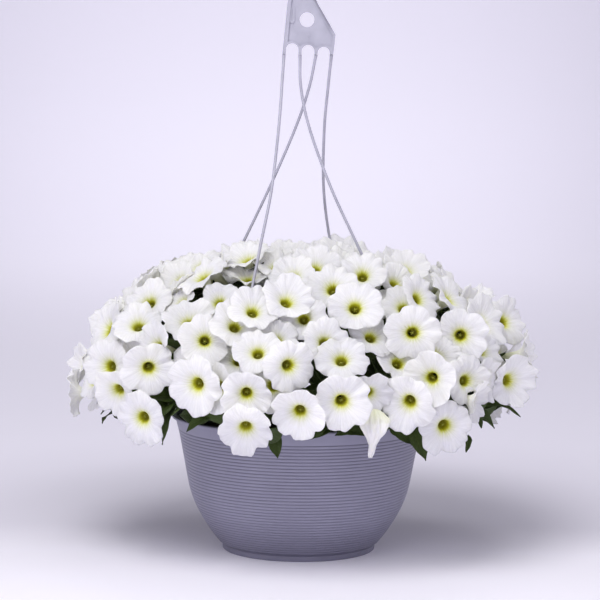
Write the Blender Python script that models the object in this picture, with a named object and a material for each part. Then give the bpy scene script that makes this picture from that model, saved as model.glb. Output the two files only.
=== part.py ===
"""White petunia hanging basket.

A ribbed plastic bowl on its foot, filled with potting mix, with the head and
four strands of its moulded hanger, and four petunia plants of four shoots
each.  Metres, +Z up.  The origin is the centre of the foot's underside, and
the front of the basket faces -Y.
"""
import math

import bmesh
import bpy
from mathutils import Matrix, Vector
from mathutils.bvhtree import BVHTree

MM = 0.001

# ------------------------------------------------------------- dimensions
POT_SIDES = 32                 # facets round the bowl
FOOT_R = 0.0945                # foot of the bowl
FOOT_H = 0.0068
RIM_R = 0.1535                 # bowl wall just under the lip
LIP_R = 0.1585                 # outer edge of the rolled lip
POT_H = 0.168
WALL = 0.0020
FLOOR = 0.0024
DRAIN_R = 0.0045               # drain holes and the circle they lie on
DRAIN_CIRCLE = 0.062
DRAINS = 4
SOIL_TOP = 0.1460
GAP = 0.00035                  # clearance between separate pieces

HEAD_Z = 0.6107                # lower end of the hanger head
HEAD_T = 0.0070                # depth of the head's flanges
WEB_T = 0.0024                 # thickness of its web
HOOK_R = 0.0180                # middle radius of the hook's bend
HOOK_BAR = 0.0070
STRAND_W = 0.0036
CLIP_W = 0.0100

MOUND_R = 0.271                # surface that the throats of the blooms lie on
MOUND_Z = 0.176
MOUND_UP = 0.190
MOUND_POWER = 2.3

TUBE_LEN = 0.034               # corolla tube behind the throat
CALYX_R = 0.0032
STEM_R = 0.0026
PEDICEL_R = 0.0013


# --------------------------------------------------------------- materials
def material(name, colour, roughness, metallic=0.0):
    mat = bpy.data.materials.new(name)
    mat.use_nodes = True
    shader = mat.node_tree.nodes["Principled BSDF"]
    shader.inputs["Base Color"].default_value = (*colour, 1.0)
    shader.inputs["Roughness"].default_value = roughness
    shader.inputs["Metallic"].default_value = metallic
    mat.diffuse_color = (*colour, 1.0)
    return mat


# ------------------------------------------------------------ mesh helpers
def mesh_object(name, verts, faces, mat, smooth=False):
    mesh = bpy.data.meshes.new(name)
    mesh.from_pydata([tuple(v) for v in verts], [], faces)
    work = bmesh.new()
    work.from_mesh(mesh)
    bmesh.ops.recalc_face_normals(work, faces=work.faces)
    work.to_mesh(mesh)
    work.free()
    mesh.materials.append(mat)
    if smooth:
        mesh.shade_smooth()
        mesh.set_sharp_from_angle(angle=math.radians(35))
    obj = bpy.data.objects.new(name, mesh)
    bpy.context.scene.collection.objects.link(obj)
    return obj


def turned(profile, sides):
    """A closed body turned about Z.  The profile starts and ends on the axis."""
    verts, faces = [], []
    first = Vector((0, 0, profile[0][1]))
    last = Vector((0, 0, profile[-1][1]))
    rings = []
    for r, z in profile[1:-1]:
        ring = []
        for k in range(sides):
            a = 2 * math.pi * k / sides
            ring.append(len(verts))
            verts.append(Vector((r * math.cos(a), r * math.sin(a), z)))
        rings.append(ring)
    for lower, upper in zip(rings, rings[1:]):
        for k in range(sides):
            j = (k + 1) % sides
            faces.append((lower[k], lower[j], upper[j], upper[k]))
    for tip, ring in ((first, rings[0]), (last, rings[-1])):
        verts.append(tip)
        for k in range(sides):
            faces.append((ring[k], ring[(k + 1) % sides], len(verts) - 1))
    return verts, faces


def loft(rings, cap_start=True, cap_end=True):
    """Skin of rings.  A ring of one point is a tip; a ring may have twice the
    points of the one before it."""
    verts, index = [], []
    for ring in rings:
        index.append(list(range(len(verts), len(verts) + len(ring))))
        verts.extend(ring)
    faces = []
    for a, b in zip(index, index[1:]):
        if len(a) > len(b) and len(b) != 1 or len(a) == 1:
            a, b = b, a
        n, m = len(a), len(b)
        if m == 1:
            faces += [(a[k], a[(k + 1) % n], b[0]) for k in range(n)]
        elif n == m:
            faces += [(a[k], a[(k + 1) % n], b[(k + 1) % n], b[k]) for k in range(n)]
        else:
            for k in range(n):
                j = (k + 1) % n
                c0, c1, c2 = b[2 * k], b[2 * k + 1], b[(2 * k + 2) % m]
                faces += [(a[k], c0, c1), (a[k], a[j], c1), (a[j], c1, c2)]
    if cap_start and len(index[0]) > 1:
        faces.append(tuple(index[0]))
    if cap_end and len(index[-1]) > 1:
        faces.append(tuple(index[-1]))
    return verts, faces


def frame_of(direction):
    """Two unit vectors across a direction."""
    d = direction.normalized()
    side = d.cross(Vector((0, 0, 1)))
    if side.length < 0.05:
        side = d.cross(Vector((0, 1, 0)))
    side.normalize()
    return side, side.cross(d).normalized()


def ring_at(centre, side, up, radii, sides, turn=0.0):
    if not isinstance(radii, (tuple, list)):
        radii = (radii,)
    out = []
    for k in range(sides):
        a = 2 * math.pi * k / sides + turn
        r = radii[k % len(radii)]
        out.append(centre + side * (r * math.cos(a)) + up * (r * math.sin(a)))
    return out


def tube(points, radii, sides):
    """Closed round bar along points, each ring turned on from the last."""
    rings, side = [], None
    for k, p in enumerate(points):
        a, b = points[max(k - 1, 0)], points[min(k + 1, len(points) - 1)]
        d = (b - a).normalized()
        if side is None:
            side, up = frame_of(d)
        else:
            side = (side - d * side.dot(d)).normalized()
            up = side.cross(d).normalized()
        rings.append(ring_at(p, side, up, radii[k], sides))
    return loft(rings)


def smooth_path(points, steps):
    """Catmull-Rom curve through points, as steps+1 points evenly along it."""
    pts = [Vector(p) for p in points]
    pts = [pts[0] * 2 - pts[1]] + pts + [pts[-1] * 2 - pts[-2]]
    fine = []
    for i in range(1, len(pts) - 2):
        p0, p1, p2, p3 = pts[i - 1:i + 3]
        for s in range(16):
            t = s / 16
            fine.append(0.5 * (2 * p1 + (p2 - p0) * t
                               + (2 * p0 - 5 * p1 + 4 * p2 - p3) * t * t
                               + (3 * p1 - p0 - 3 * p2 + p3) * t ** 3))
    fine.append(pts[-2])
    run = [0.0]
    for a, b in zip(fine, fine[1:]):
        run.append(run[-1] + (b - a).length)
    out, j = [], 0
    for k in range(steps + 1):
        want = run[-1] * k / steps
        while j < len(run) - 2 and run[j + 1] < want:
            j += 1
        f = (want - run[j]) / max(run[j + 1] - run[j], 1e-9)
        out.append(fine[j].lerp(fine[j + 1], min(max(f, 0), 1)))
    return out


def boolean(target, others, operation):
    """Joins or cuts target with each of the other bodies in turn, exactly,
    and drops them."""
    for other in others:
        mod = target.modifiers.new("join", "BOOLEAN")
        mod.operation = operation
        mod.object = other
        mod.solver = "EXACT"
        mod.material_mode = "TRANSFER"
        graph = bpy.context.evaluated_depsgraph_get()
        graph.update()
        made = bpy.data.meshes.new_from_object(target.evaluated_get(graph))
        target.modifiers.clear()
        old = target.data
        target.data = made
        made.name = target.name
        bpy.data.meshes.remove(old)
        bpy.data.objects.remove(other, do_unlink=True)
    return target


# ------------------------------------------------------- the planting plan
# Blooms of the front half, each by the azimuth and the polar angle of its
# throat on the mound, the azimuth and the lift that it faces, its width in
# mm, and how far it stands out of the mound in mm.
FRONT_BLOOMS = (
    (-103, 87, -90, -30, 58, 0), (-90, 82, -102, -14, 60, 0),
    (-80, 79, -87, -8, 62, 4), (-62, 80, -108, -12, 62, 0),
    (-52, 88, -72, -12, 62, 0), (-132, 87, -112, -12, 62, 0),
    (-144, 80, -122, -22, 58, -4), (-168, 85, -185, -8, 60, 2),
    (-149, 73, -125, 10, 62, 4), (-133, 71, -87, -6, 62, 0),
    (-116, 75, -114, -8, 62, 4), (-111, 75, -128, -4, 58, -8),
    (-103, 77, -85, -14, 58, 4), (-97, 74, -108, 0, 56, -8),
    (-93, 68, -70, -8, 60, 6), (-79, 65, -90, 38, 58, -4),
    (-72, 76, -78, -20, 54, -14), (-55, 73, -108, 8, 64, 4),
    (-42, 75, -55, 4, 60, -4), (-22, 78, -46, 0, 64, 2),
    (-41, 82, -18, -10, 56, -8), (-38, 59, -90, 2, 62, 2),
    (-56, 56, -90, 6, 62, 2), (-83, 57, -80, 40, 56, -6),
    (-101, 64, -95, 35, 58, 4), (-118, 59, -90, 15, 58, -2),
    (-133, 63, -140, 15, 62, 0), (-145, 57, -110, 45, 58, 2),
    (-150, 47, -110, 35, 58, 2), (-127, 52, -90, 42, 58, -6),
    (-110, 53, -90, 38, 56, -4), (-105, 48, -85, 42, 60, 4),
    (-95, 42, -75, 45, 60, 0), (-89, 47, -98, 28, 58, -4),
    (-72, 45, -90, 24, 60, 4), (-77, 34, -100, 38, 58, 0),
    (-81, 20, -80, 48, 56, 0), (-58, 27, -90, 42, 60, 2),
    (-52, 44, -100, 42, 56, -4), (-45, 42, -50, 22, 56, 4),
    (-24, 27, -70, 48, 56, 2), (-4, 60, -42, 20, 58, 12),
    (-9, 72, -10, 8, 56, 14), (8, 50, -85, 66, 54, 4),
)
OWN_BLOOMS = 37                # blooms that are pieces of their own
INFILL = 520                   # candidate points of the spiral over the mound
INFILL_SPACING = 0.0560
YOUNG_SPACING = 0.0440         # smaller, younger blooms in what gaps are left
STRAND_SPACING = 0.0210        # how far these stay from the hanger's strands
LOWEST_ANGLE = 96              # how far round the infill goes, and in front
LOWEST_FRONT = 80
LEAVES_PER_NODE = 2

# Leaves of the skirt under the blooms: azimuth, radius and height of the
# leaf's base, then of its tip, in degrees and mm, and the blade's width.
SKIRT_LEAVES = (
    (-95, 176, 189, -96, 203, 148, 17), (-101, 172, 190, -104, 199, 163, 13),
    (-121, 178, 196, -125, 201, 166, 18), (-88, 166, 190, -82, 196, 168, 22),
    (-75, 168, 190, -71, 190, 171, 17), (-56, 172, 192, -51, 200, 161, 22),
    (-42, 178, 190, -39, 214, 146, 24), (-36, 186, 190, -28, 222, 160, 18),
    (-22, 182, 196, -14, 226, 172, 20), (-142, 176, 206, -141, 212, 158, 16),
    (-138, 180, 222, -131, 216, 196, 26), (-150, 186, 206, -157, 232, 178, 14),
    (-163, 184, 206, -170, 226, 174, 20),
)

HEADS = (                      # azimuth of each plant's crown
    ("a", -75.0), ("b", 15.0), ("c", 105.0), ("d", 195.0),
)
CROWN_R = 0.075
STRANDS = (                    # name, azimuth of the clip, path in mm
    ("front_left", -115.0, (
        (-72, -152, 205), (-69, -140, 262), (-60, -122, 322), (-49, -92, 382),
        (-36.6, -60, 448), (-28.8, -32, 522), (-25.4, -12, 575), (-23.4, 0, 610.4))),
    ("front_right", -25.0, (
        (148, -67, 206), (124, -60, 262), (97, -51, 322), (66.5, -38, 384),
        (35.1, -24, 450), (8.8, -11, 520), (-2.4, -4, 570), (-3.9, 0, 610.4))),
    ("rear_right", 65.0, (
        (67, 150, 212), (60, 132, 268), (49, 108, 322), (34.5, 80, 386),
        (26.8, 52, 450), (27.0, 26, 520), (30.8, 10, 570), (34.6, 0, 610.4))),
    ("rear_left", 155.0, (
        (-142, 70, 214), (-122, 64, 268), (-96, 54, 328), (-67, 40, 388),
        (-37.4, 25, 452), (-8.0, 12, 522), (7.6, 5, 570), (15.7, 0, 610.4))),
)


def polar(azimuth, radius, z):
    a = math.radians(azimuth)
    return Vector((radius * math.cos(a), radius * math.sin(a), z))


def on_mound(azimuth, angle):
    t = math.radians(angle)
    r = MOUND_R * abs(math.sin(t)) ** (2 / MOUND_POWER)
    z = MOUND_Z + MOUND_UP * math.copysign(abs(math.cos(t)) ** (2 / MOUND_POWER),
                                           math.cos(t))
    return polar(azimuth, r, z)


def facing(azimuth, lift):
    return polar(azimuth, math.cos(math.radians(lift)), math.sin(math.radians(lift)))


def wave(k, salt):
    """A fixed value from -1 to 1 for each k."""
    return 2 * (math.sin(12.9898 * k + 78.233 * salt) * 43758.5453 % 1) - 1


class Piece:
    """A placed shape, kept so that later shapes can stay clear of it."""

    def __init__(self, verts, faces, owner, kind):
        self.centre = sum((Vector(v) for v in verts), Vector()) / len(verts)
        self.reach = max((Vector(v) - self.centre).length for v in verts)
        self.tree = BVHTree.FromPolygons([tuple(v) for v in verts], faces)
        self.owner, self.kind = owner, kind

    def hits(self, other):
        if (self.centre - other.centre).length > self.reach + other.reach:
            return False
        return bool(self.tree.overlap(other.tree))


# ------------------------------------------------------------ plant shapes
def bloom_mesh(throat, axis, width, roll, grow=1.0):
    """A funnel flower: narrow tube, then a five-lobed limb, open in front."""
    side, up = frame_of(axis)
    s = width / 0.060 * grow
    turn = math.radians(roll)

    def ring(t, r, n):
        return ring_at(throat + axis * t, side, up, r, n, turn)

    rings = [ring(-TUBE_LEN, 0.0026 * s, 5), ring(-0.0010, 0.0066 * s, 5),
             ring(0.0110 * s, (0.0300 * s, 0.0272 * s), 10),
             ring(0.0014, 0.0050 * s, 5), [throat - axis * 0.020]]
    return loft(rings)


def leaf_mesh(base, tip, width, normal, stalk_from=None):
    """A thin leaf with a fold along its midrib, on a stalk."""
    run = tip - base
    d = run.normalized()
    normal = (normal - d * normal.dot(d)).normalized()
    side = d.cross(normal).normalized()
    rings = []
    start = stalk_from if stalk_from is not None else base - d * 0.012

    def ring(p, half, thick, fold):
        return [p - side * half + normal * fold, p - normal * thick / 2,
                p + side * half + normal * fold, p + normal * thick / 2]

    rings.append(ring(start, 0.0010, 0.0020, 0))
    rings.append(ring(base, 0.0016, 0.0020, 0))
    sag = normal * (run.length * 0.10)
    rings.append(ring(base + run * 0.46 + sag, width / 2, 0.0016, 0.0022))
    rings.append([tip])
    return loft(rings)


def bezier(p0, p1, p2, p3, steps):
    out = []
    for k in range(steps + 1):
        t = k / steps
        out.append(p0 * (1 - t) ** 3 + p1 * 3 * t * (1 - t) ** 2
                   + p2 * 3 * t * t * (1 - t) + p3 * t ** 3)
    return out


# ----------------------------------------------------------- shoots' stems
def shoot_paths():
    """Sixteen stems: from each crown three lean out over the rim and one
    stands up."""
    out = []
    for p, (letter, azimuth) in enumerate(HEADS):
        for k, spread in enumerate((-30.0, 0.0, 30.0)):
            a = azimuth + spread
            n = 4 * p + k
            rise = 0.212 + 0.006 * wave(n, 1)
            base = polar(azimuth, CROWN_R, 0) + polar(a, 0.020, 0)
            base.z = SOIL_TOP + 2 * GAP
            pts = [base, base + Vector((0, 0, 0.006)), base + polar(a, 0.004, 0.022),
                   polar(a, 0.112, rise - 0.016), polar(a, 0.146, rise),
                   polar(a + 2 * wave(n, 2), 0.180, rise - 0.010),
                   polar(a + 4 * wave(n, 3), 0.204, rise - 0.032)]
            out.append((f"plant_{letter}_shoot_{k + 1}", smooth_path(pts, 9)))
        a = azimuth + 20 * wave(p, 4)
        base = polar(azimuth, CROWN_R, 0) - polar(azimuth, 0.014, 0)
        base.z = SOIL_TOP + 2 * GAP
        pts = [base, base + Vector((0, 0, 0.008)), base + Vector((0, 0, 0.026)), polar(azimuth, 0.060, 0.210),
               polar(a, 0.066, 0.256), polar(a, 0.078, 0.292)]
        out.append((f"plant_{letter}_shoot_4", smooth_path(pts, 7)))
    return out


# ----------------------------------------------------------------- strands
def clip_profile():
    """Section of a strand's clip round the lip of the bowl, as (r, z)."""
    return ((0.1540, POT_H + 0.0005), (0.1590, POT_H + 0.0005), (0.1590, 0.1640),
            (0.1548, 0.1640), (0.1548, 0.1608), (0.1630, 0.1608),
            (0.1630, 0.1718), (0.1540, 0.1718))


def strand_meshes(azimuth, path):
    """The clip's solid and the strand's solid, which overlap at the clip."""
    out_dir = polar(azimuth, 1, 0)
    across = Vector((-out_dir.y, out_dir.x, 0))
    ring = [[out_dir * r + Vector((0, 0, z)) + across * (CLIP_W / 2 * s)
             for r, z in clip_profile()] for s in (-1, 1)]
    clip = loft(ring)
    pts = [polar(azimuth, 0.1608, 0.1700), polar(azimuth, 0.1622, 0.1800)]
    pts += [Vector(p) * MM for p in path]
    pts = smooth_path(pts, 18)
    bar = tube(pts, [STRAND_W / 2 * 1.06] * len(pts), 6)
    return clip, bar


# ------------------------------------------------------------------ layout
def behind_strand(p, bars):
    """The point p, moved back where it would stand in front of the upper part
    of the front left strand, which lies on the blooms there."""
    front = [q for q in bars[:41] if 0.325 < q.z < 0.40
             and abs(p.x - q.x) < 0.038 and abs(p.z - q.z) < 0.036]
    if front:
        p = Vector((p.x, max(p.y, max(q.y for q in front) + 0.016), p.z))
    return p


def wanted_blooms():
    """(throat, axis, width, spacing) of the planned blooms, then of a spiral
    of points over the mound that fills the rest, and of smaller blooms set a
    little deeper in what gaps are left.  A spacing of 0 marks a planned one."""
    out = []
    for az, angle, look, lift, width, stand in FRONT_BLOOMS:
        p = on_mound(az, angle) + facing(az, 90 - angle) * (stand * MM)
        out.append((p, facing(look, lift), width * MM, 0))
    bars = [p for _, _, path in STRANDS
            for p in smooth_path([Vector(q) * MM for q in path], 40)]
    golden = math.pi * (3 - math.sqrt(5))
    low = math.cos(math.radians(LOWEST_ANGLE))
    for n in range(2 * INFILL):
        k = n % INFILL
        angle = math.degrees(math.acos(1 - (1 - low) * (k + 0.5) / INFILL))
        az = math.degrees(k * golden) % 360 - 180
        if angle > LOWEST_FRONT + 16 * max(0, 0.3 + math.sin(math.radians(az))):
            continue
        p = behind_strand(on_mound(az, angle)
                          + facing(az, 90 - angle) * (0.006 * wave(k, 7)), bars)
        if any((p - q).length < STRAND_SPACING for q in bars):
            continue
        axis = facing(az + 16 * wave(k, 6), (90 - angle) * 0.86 + 9 * wave(k, 5))
        if n < INFILL:
            out.append((p, axis, 0.058 + 0.003 * wave(k, 8), INFILL_SPACING))
        else:
            out.append((p - facing(az, 90 - angle) * 0.008, axis,
                        0.044 + 0.002 * wave(k, 8), YOUNG_SPACING))
    return out


def lay_out_blooms(stems, placed):
    """Every bloom as (throat, axis, width, roll), with the stem that bears it
    and its stalk.  Each moves a little where it would run into what is placed
    already, or where no stem could reach it."""
    tries = [(0, 0, 0, 1.0)]
    for size in (1.0, 0.94, 0.88):
        for shift in (0, 5, -5, 9, -9, 13, -13, 17, -17):
            for a, b in ((0, 0), (0.16, 0), (-0.16, 0), (0, 0.16), (0, -0.16)):
                tries.append((shift, a, b, size))
    blooms = []
    for k, (p, axis, width, spacing) in enumerate(wanted_blooms()):
        if spacing and any((p - b[0]).length < spacing for b in blooms):
            continue
        side, up = frame_of(axis)
        roll = 72 * wave(k, 9)
        for shift, a, b, size in tries:
            aim = (axis + side * a + up * b).normalized()
            at = p + axis * (shift * MM)
            piece = Piece(*bloom_mesh(at, aim, width * size, roll), None, "bloom")
            if any(piece.hits(other) for other in placed):
                continue
            found = stalk_of(at, aim, len(blooms) < OWN_BLOOMS, piece, stems, placed)
            if found:
                placed.append(piece)
                blooms.append((at, aim, width * size, roll, *found))
                break
    return blooms


def stalk_of(throat, axis, own, body, stems, placed):
    """(stem number, mesh) of a stalk from a stem to the bloom's calyx, by the
    shortest clear way, or None."""
    end = throat - axis * (TUBE_LEN + (GAP if own else -0.0025))
    options = []
    for s, (_, path) in enumerate(stems):
        for i in range(3, len(path)):
            along = (path[i] - path[i - 1]).normalized()
            for share in (0.28, 0.55, 0.82):
                p = path[i - 1].lerp(path[i], share)
                gap = end - p
                bend = 1.5 - 0.5 * gap.normalized().dot(axis)
                back = 0.15 * (1 - gap.normalized().dot(along))
                options.append((gap.length * (bend + back), s, i, share))
    options.sort()
    for _, s, i, share in options[:24]:
        path = stems[s][1]
        p = path[i - 1].lerp(path[i], share)
        along = (path[i] - path[i - 1]).normalized()
        run = (end - p).length
        away = ((end - p).normalized() + along * 0.6).normalized()
        for bow in (0.38, 0.22, 0.55):
            pts = bezier(p, p + away * run * bow, end - axis * run * bow, end,
                         3 if run > 0.035 else 2)
            radii = [PEDICEL_R] * len(pts)
            if own:
                pts = pts[:-1] + [end - axis * 0.0045, end]
                radii = radii[:-1] + [PEDICEL_R * 1.2, CALYX_R]
            shape = tube(pts, radii, 3)
            piece = Piece(*shape, s, "stalk")
            if piece.hits(body) and own or any(
                    piece.hits(o) for o in placed
                    if not (o.owner == s and o.kind == "stem")):
                continue
            placed.append(piece)
            return s, shape
    return None


def leaf_on(stem, i, base, tip, width, normal, placed):
    """A leaf whose stalk starts in a stem's middle, or None if it would run
    into something else."""
    shape = leaf_mesh(base, tip, width, normal, stem[1][i])
    piece = Piece(*shape, stem[0], "leaf")
    if any(piece.hits(o) for o in placed if not (o.owner == stem[0] and o.kind == "stem")):
        return None
    placed.append(piece)
    return shape


def lay_out_leaves(stems, placed):
    """Leaf meshes for each stem: first the skirt of leaves that hang under
    the blooms, then pairs along each stem."""
    out = {s: [] for s in range(len(stems))}
    for a0, r0, z0, a1, r1, z1, width in SKIRT_LEAVES:
        base, tip = polar(a0, r0 * MM, z0 * MM), polar(a1, r1 * MM, z1 * MM)
        nearest = min((((base - p).length, s, i) for s, (_, path) in enumerate(stems)
                       for i, p in enumerate(path) if i > 2))
        _, s, i = nearest
        for shift in (0, 4, -4, 8, -8, 12, -12, 18):
            move = Vector((0, 0, shift * MM))
            out_dir = polar(a1, 1, 0.4)
            made = leaf_on((s, stems[s][1]), i, base + move, tip + move, width * MM,
                           out_dir, placed)
            if made:
                out[s].append(made)
                break
    for s, (_, path) in enumerate(stems):
        for i in range(2, len(path)):
            for k in range(LEAVES_PER_NODE):
                p = path[i]
                along = (path[i] - path[i - 1]).normalized()
                side, up = frame_of(along)
                for turn in range(9):
                    a = 2.4 * i + math.pi * k + turn * 0.7
                    reach = side * math.cos(a) + up * math.sin(a)
                    d = (reach + along * 0.55 + Vector((0, 0, 0.25))).normalized()
                    length = 0.046 + 0.008 * wave(10 * s + i, 11 + k)
                    base, tip = p + d * 0.016, p + d * (0.016 + length)
                    if (Vector((tip.x, tip.y, 0)).length < 0.165 and tip.z < POT_H + 0.004) \
                            or tip.z < SOIL_TOP + 0.004:
                        continue
                    made = leaf_on((s, path), i, base, tip, length * 0.48,
                                   reach.cross(along).cross(d), placed)
                    if made:
                        out[s].append(made)
                        break
    return out


# ------------------------------------------------------------ made parts
def pot_profile():
    """The bowl's section: foot, curved wall, plain band and outward lip."""
    outer = [(FOOT_R - 0.0008, 0.0), (FOOT_R, 0.0010), (FOOT_R + 0.0002, FOOT_H - 0.0008),
             (FOOT_R - 0.0002, FOOT_H), (FOOT_R + 0.0020, FOOT_H + 0.0004),
             (0.1030, 0.0147), (0.1137, 0.0295), (0.1227, 0.0443), (0.1299, 0.0590),
             (0.1353, 0.0739), (0.1397, 0.0950), (0.1437, 0.1160), (0.1487, 0.1429),
             (RIM_R, 0.1620), (RIM_R, 0.1645), (LIP_R, 0.1648), (LIP_R, POT_H)]
    inner = [(RIM_R - WALL, POT_H), (RIM_R - WALL, 0.1600), (0.1487 - WALL, 0.1425),
             (0.1397 - WALL, 0.0945), (0.1353 - WALL, 0.0735),
             (0.1227 - WALL, 0.0440), (0.1022 - WALL, 0.0160),
             (FOOT_R - WALL - 0.0006, 0.0080), (FOOT_R - WALL - 0.0010, FLOOR)]
    return [(0, 0.0)] + outer + inner + [(0, FLOOR)]


def build_pot(mat):
    pot = mesh_object("pot", *turned(pot_profile(), POT_SIDES), mat, smooth=True)
    drills = []
    for k in range(DRAINS):
        centre = polar(360 * k / DRAINS + 180 / POT_SIDES, DRAIN_CIRCLE, 0)
        drills.append(mesh_object(f"drill_{k}", *tube(
            [centre + Vector((0, 0, -0.005)), centre + Vector((0, 0, 0.010))],
            [DRAIN_R, DRAIN_R], 10), mat))
    return boolean(pot, drills, "DIFFERENCE")


def build_soil(mat):
    """Potting mix that fills the bowl to just under the lip."""
    inner = [(FOOT_R - WALL - 0.0010, FLOOR), (FOOT_R - WALL - 0.0006, 0.0080),
             (0.1022 - WALL, 0.0160), (0.1227 - WALL, 0.0440),
             (0.1353 - WALL, 0.0735), (0.1397 - WALL, 0.0945), (0.1487 - WALL, 0.1425)]
    wall = [(r - GAP * 1.2, z + GAP) for r, z in inner]
    wall.append((wall[-1][0] + 0.0008, SOIL_TOP - 0.0008))
    profile = [(0, FLOOR + GAP)] + wall + [(0.120, SOIL_TOP), (0, SOIL_TOP)]
    return mesh_object("potting_mix", *turned(profile, POT_SIDES), mat)


def outline_block(name, outline, y0, y1, mat):
    """A flat shape in X and Z, given thickness along Y."""
    rings = [[Vector((x * MM, y, z * MM)) for x, z in outline] for y in (y0, y1)]
    return mesh_object(name, *loft(rings), mat)


def build_head(mat):
    """The hanger's head: a flanged web with a hole, four legs below, and the
    hook above."""
    z = HEAD_Z * 1000

    def raised(points):
        return [(x, z + h) for x, h in points]

    outline = raised(((-25.4, 0.3), (-20.6, 0.3), (32.0, 0.3), (36.8, 0.3), (38.2, 13),
                      (39.3, 24), (16.9, 62), (3.6, 92), (2.4, 108), (-10.0, 108),
                      (-12.8, 94), (-16.8, 80), (-19.7, 62), (-22.0, 37), (-24.2, 13)))
    head = outline_block("hanger_hook", outline, -HEAD_T / 2, HEAD_T / 2, mat)
    # the pocket on each face leaves a rim round the web and over the arches
    pocket = raised(((-19.0, 15.0), (-13.5, 15.8), (-8.8, 14.2), (-3.9, 9.8), (1.0, 12.6),
                     (5.9, 13.8), (10.8, 12.4), (15.7, 7.8), (20.4, 10.4), (25.0, 11.4),
                     (29.6, 10.0), (34.4, 9.2), (36.2, 22.6), (14.4, 60.0), (2.2, 88),
                     (-9.4, 88), (-15.2, 62)))
    cutters = []
    for k, (a, b) in enumerate(((-0.02, -WEB_T / 2), (WEB_T / 2, 0.02))):
        cutters.append(outline_block(f"pocket_{k}", pocket, a, b, mat))
    hole = Vector((0.0043, 0, HEAD_Z + 0.0420))
    cutters.append(mesh_object("hole", *tube(
        [hole + Vector((0, -0.02, 0)), hole + Vector((0, 0.02, 0))],
        [0.0090, 0.0090], 20), mat))
    # three arches between the legs, each lower than the one to its left
    for k, (x, up, r) in enumerate(((-13.5, 5.5, 7.7), (5.9, 3.5, 7.9), (25.0, 1.6, 7.5))):
        arch = [(x - r, z - 5), (x + r, z - 5), (x + r, z + up)]
        arch += [(x + r * math.cos(math.radians(a)), z + up + r * math.sin(math.radians(a)))
                 for a in range(20, 180, 20)]
        arch.append((x - r, z + up))
        cutters.append(outline_block(f"arch_{k}", arch, -0.02, 0.02, mat))
    head = boolean(head, cutters, "DIFFERENCE")
    # a raised slot beside the hole and a small round boss under it
    slot = raised([(-13.9 + 3.4 * math.cos(math.radians(a)),
                    41.0 + 3.6 * math.sin(math.radians(a))) for a in range(180, 361, 36)]
                  + [(-10.9, 57.0), (-16.6, 57.0)])
    groove = raised(((-14.7, 41.6), (-13.9, 40.6), (-13.1, 41.6), (-13.0, 54.6), (-14.4, 54.6)))
    boss = Vector((0.0075, -0.0005, HEAD_Z + 0.0227))
    head = boolean(head, [
        outline_block("slot", slot, -0.0024, -0.0004, mat),
        mesh_object("boss", *tube([boss, boss + Vector((0, -0.0013, 0))],
                                  [0.0020, 0.0018], 10), mat)], "UNION")
    head = boolean(head, [outline_block("groove", groove, -0.0060, -0.0016, mat)],
                   "DIFFERENCE")
    centre = Vector((0.0142, 0, HEAD_Z + 0.1180))
    bend = []
    for k in range(15):
        a = math.radians(180 - 200 * k / 14)
        bend.append(centre + Vector((math.cos(a), 0, math.sin(a))) * HOOK_R)
    pts = [Vector((-0.0038, 0, HEAD_Z + 0.1020))] + bend
    rings = []
    for k, p in enumerate(pts):
        a, b = pts[max(k - 1, 0)], pts[min(k + 1, len(pts) - 1)]
        d = (b - a).normalized()
        across = Vector((-d.z, 0, d.x))
        h = HOOK_BAR / 2 * (1 if k < len(pts) - 1 else 0.75)
        t = HEAD_T / 2
        rings.append([p + across * x * h + Vector((0, y * t, 0)) for x, y in
                      ((-1, -0.5), (-0.5, -1), (0.5, -1), (1, -0.5),
                       (1, 0.5), (0.5, 1), (-0.5, 1), (-1, 0.5))])
    hook = mesh_object("hook_bend", *loft(rings), mat)
    return boolean(head, [hook], "UNION")


def main():
    for obj in list(bpy.data.objects):
        bpy.data.objects.remove(obj, do_unlink=True)

    pot_mat = material("pot_plastic", (0.20, 0.19, 0.27), 0.42)
    soil_mat = material("potting_mix", (0.045, 0.028, 0.018), 0.95)
    hanger_mat = material("hanger_plastic", (0.52, 0.50, 0.60), 0.35)
    leaf_mat = material("foliage", (0.045, 0.11, 0.018), 0.55)
    petal_mat = material("petal", (0.88, 0.88, 0.90), 0.60)

    build_pot(pot_mat)
    build_soil(soil_mat)
    build_head(hanger_mat)

    placed = []
    for name, azimuth, path in STRANDS:
        clip, bar = strand_meshes(azimuth, path)
        placed += [Piece(*clip, None, "strand"), Piece(*bar, None, "strand")]
        strand = mesh_object(f"strand_{name}", *bar, hanger_mat)
        boolean(strand, [mesh_object("clip", *clip, hanger_mat)], "UNION")
    placed.append(Piece(*turned(pot_profile(), POT_SIDES), None, "pot"))

    stems = shoot_paths()
    shoot_parts = []
    for s, (name, path) in enumerate(stems):
        radii = [STEM_R * (1.15 - 0.45 * i / (len(path) - 1)) for i in range(len(path))]
        shape = tube(path, radii, 5)
        placed.append(Piece(*shape, s, "stem"))
        shoot_parts.append([mesh_object(name, *shape, leaf_mat)])

    blooms = lay_out_blooms(stems, placed)
    for k, (throat, axis, width, roll, s, stalk) in enumerate(blooms):
        shoot_parts[s].append(mesh_object(f"stalk_{k}", *stalk, leaf_mat))
        shape = bloom_mesh(throat, axis, width, roll)
        if k < OWN_BLOOMS:
            mesh_object(f"bloom_{k + 1:02d}", *shape, petal_mat)
        else:
            shoot_parts[s].append(mesh_object(f"joined_{k}", *shape, petal_mat))
    for s, leaves in lay_out_leaves(stems, placed).items():
        for k, shape in enumerate(leaves):
            shoot_parts[s].append(mesh_object(f"leaf_{s}_{k}", *shape, leaf_mat))
    for stem, *rest in shoot_parts:
        boolean(stem, rest, "UNION")


main()
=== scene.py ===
"""Looks of the white petunia hanging basket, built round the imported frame."""
import math

import bmesh
import bpy
import numpy as np
from mathutils import Matrix, Vector, noise
from mathutils.bvhtree import BVHTree


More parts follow.
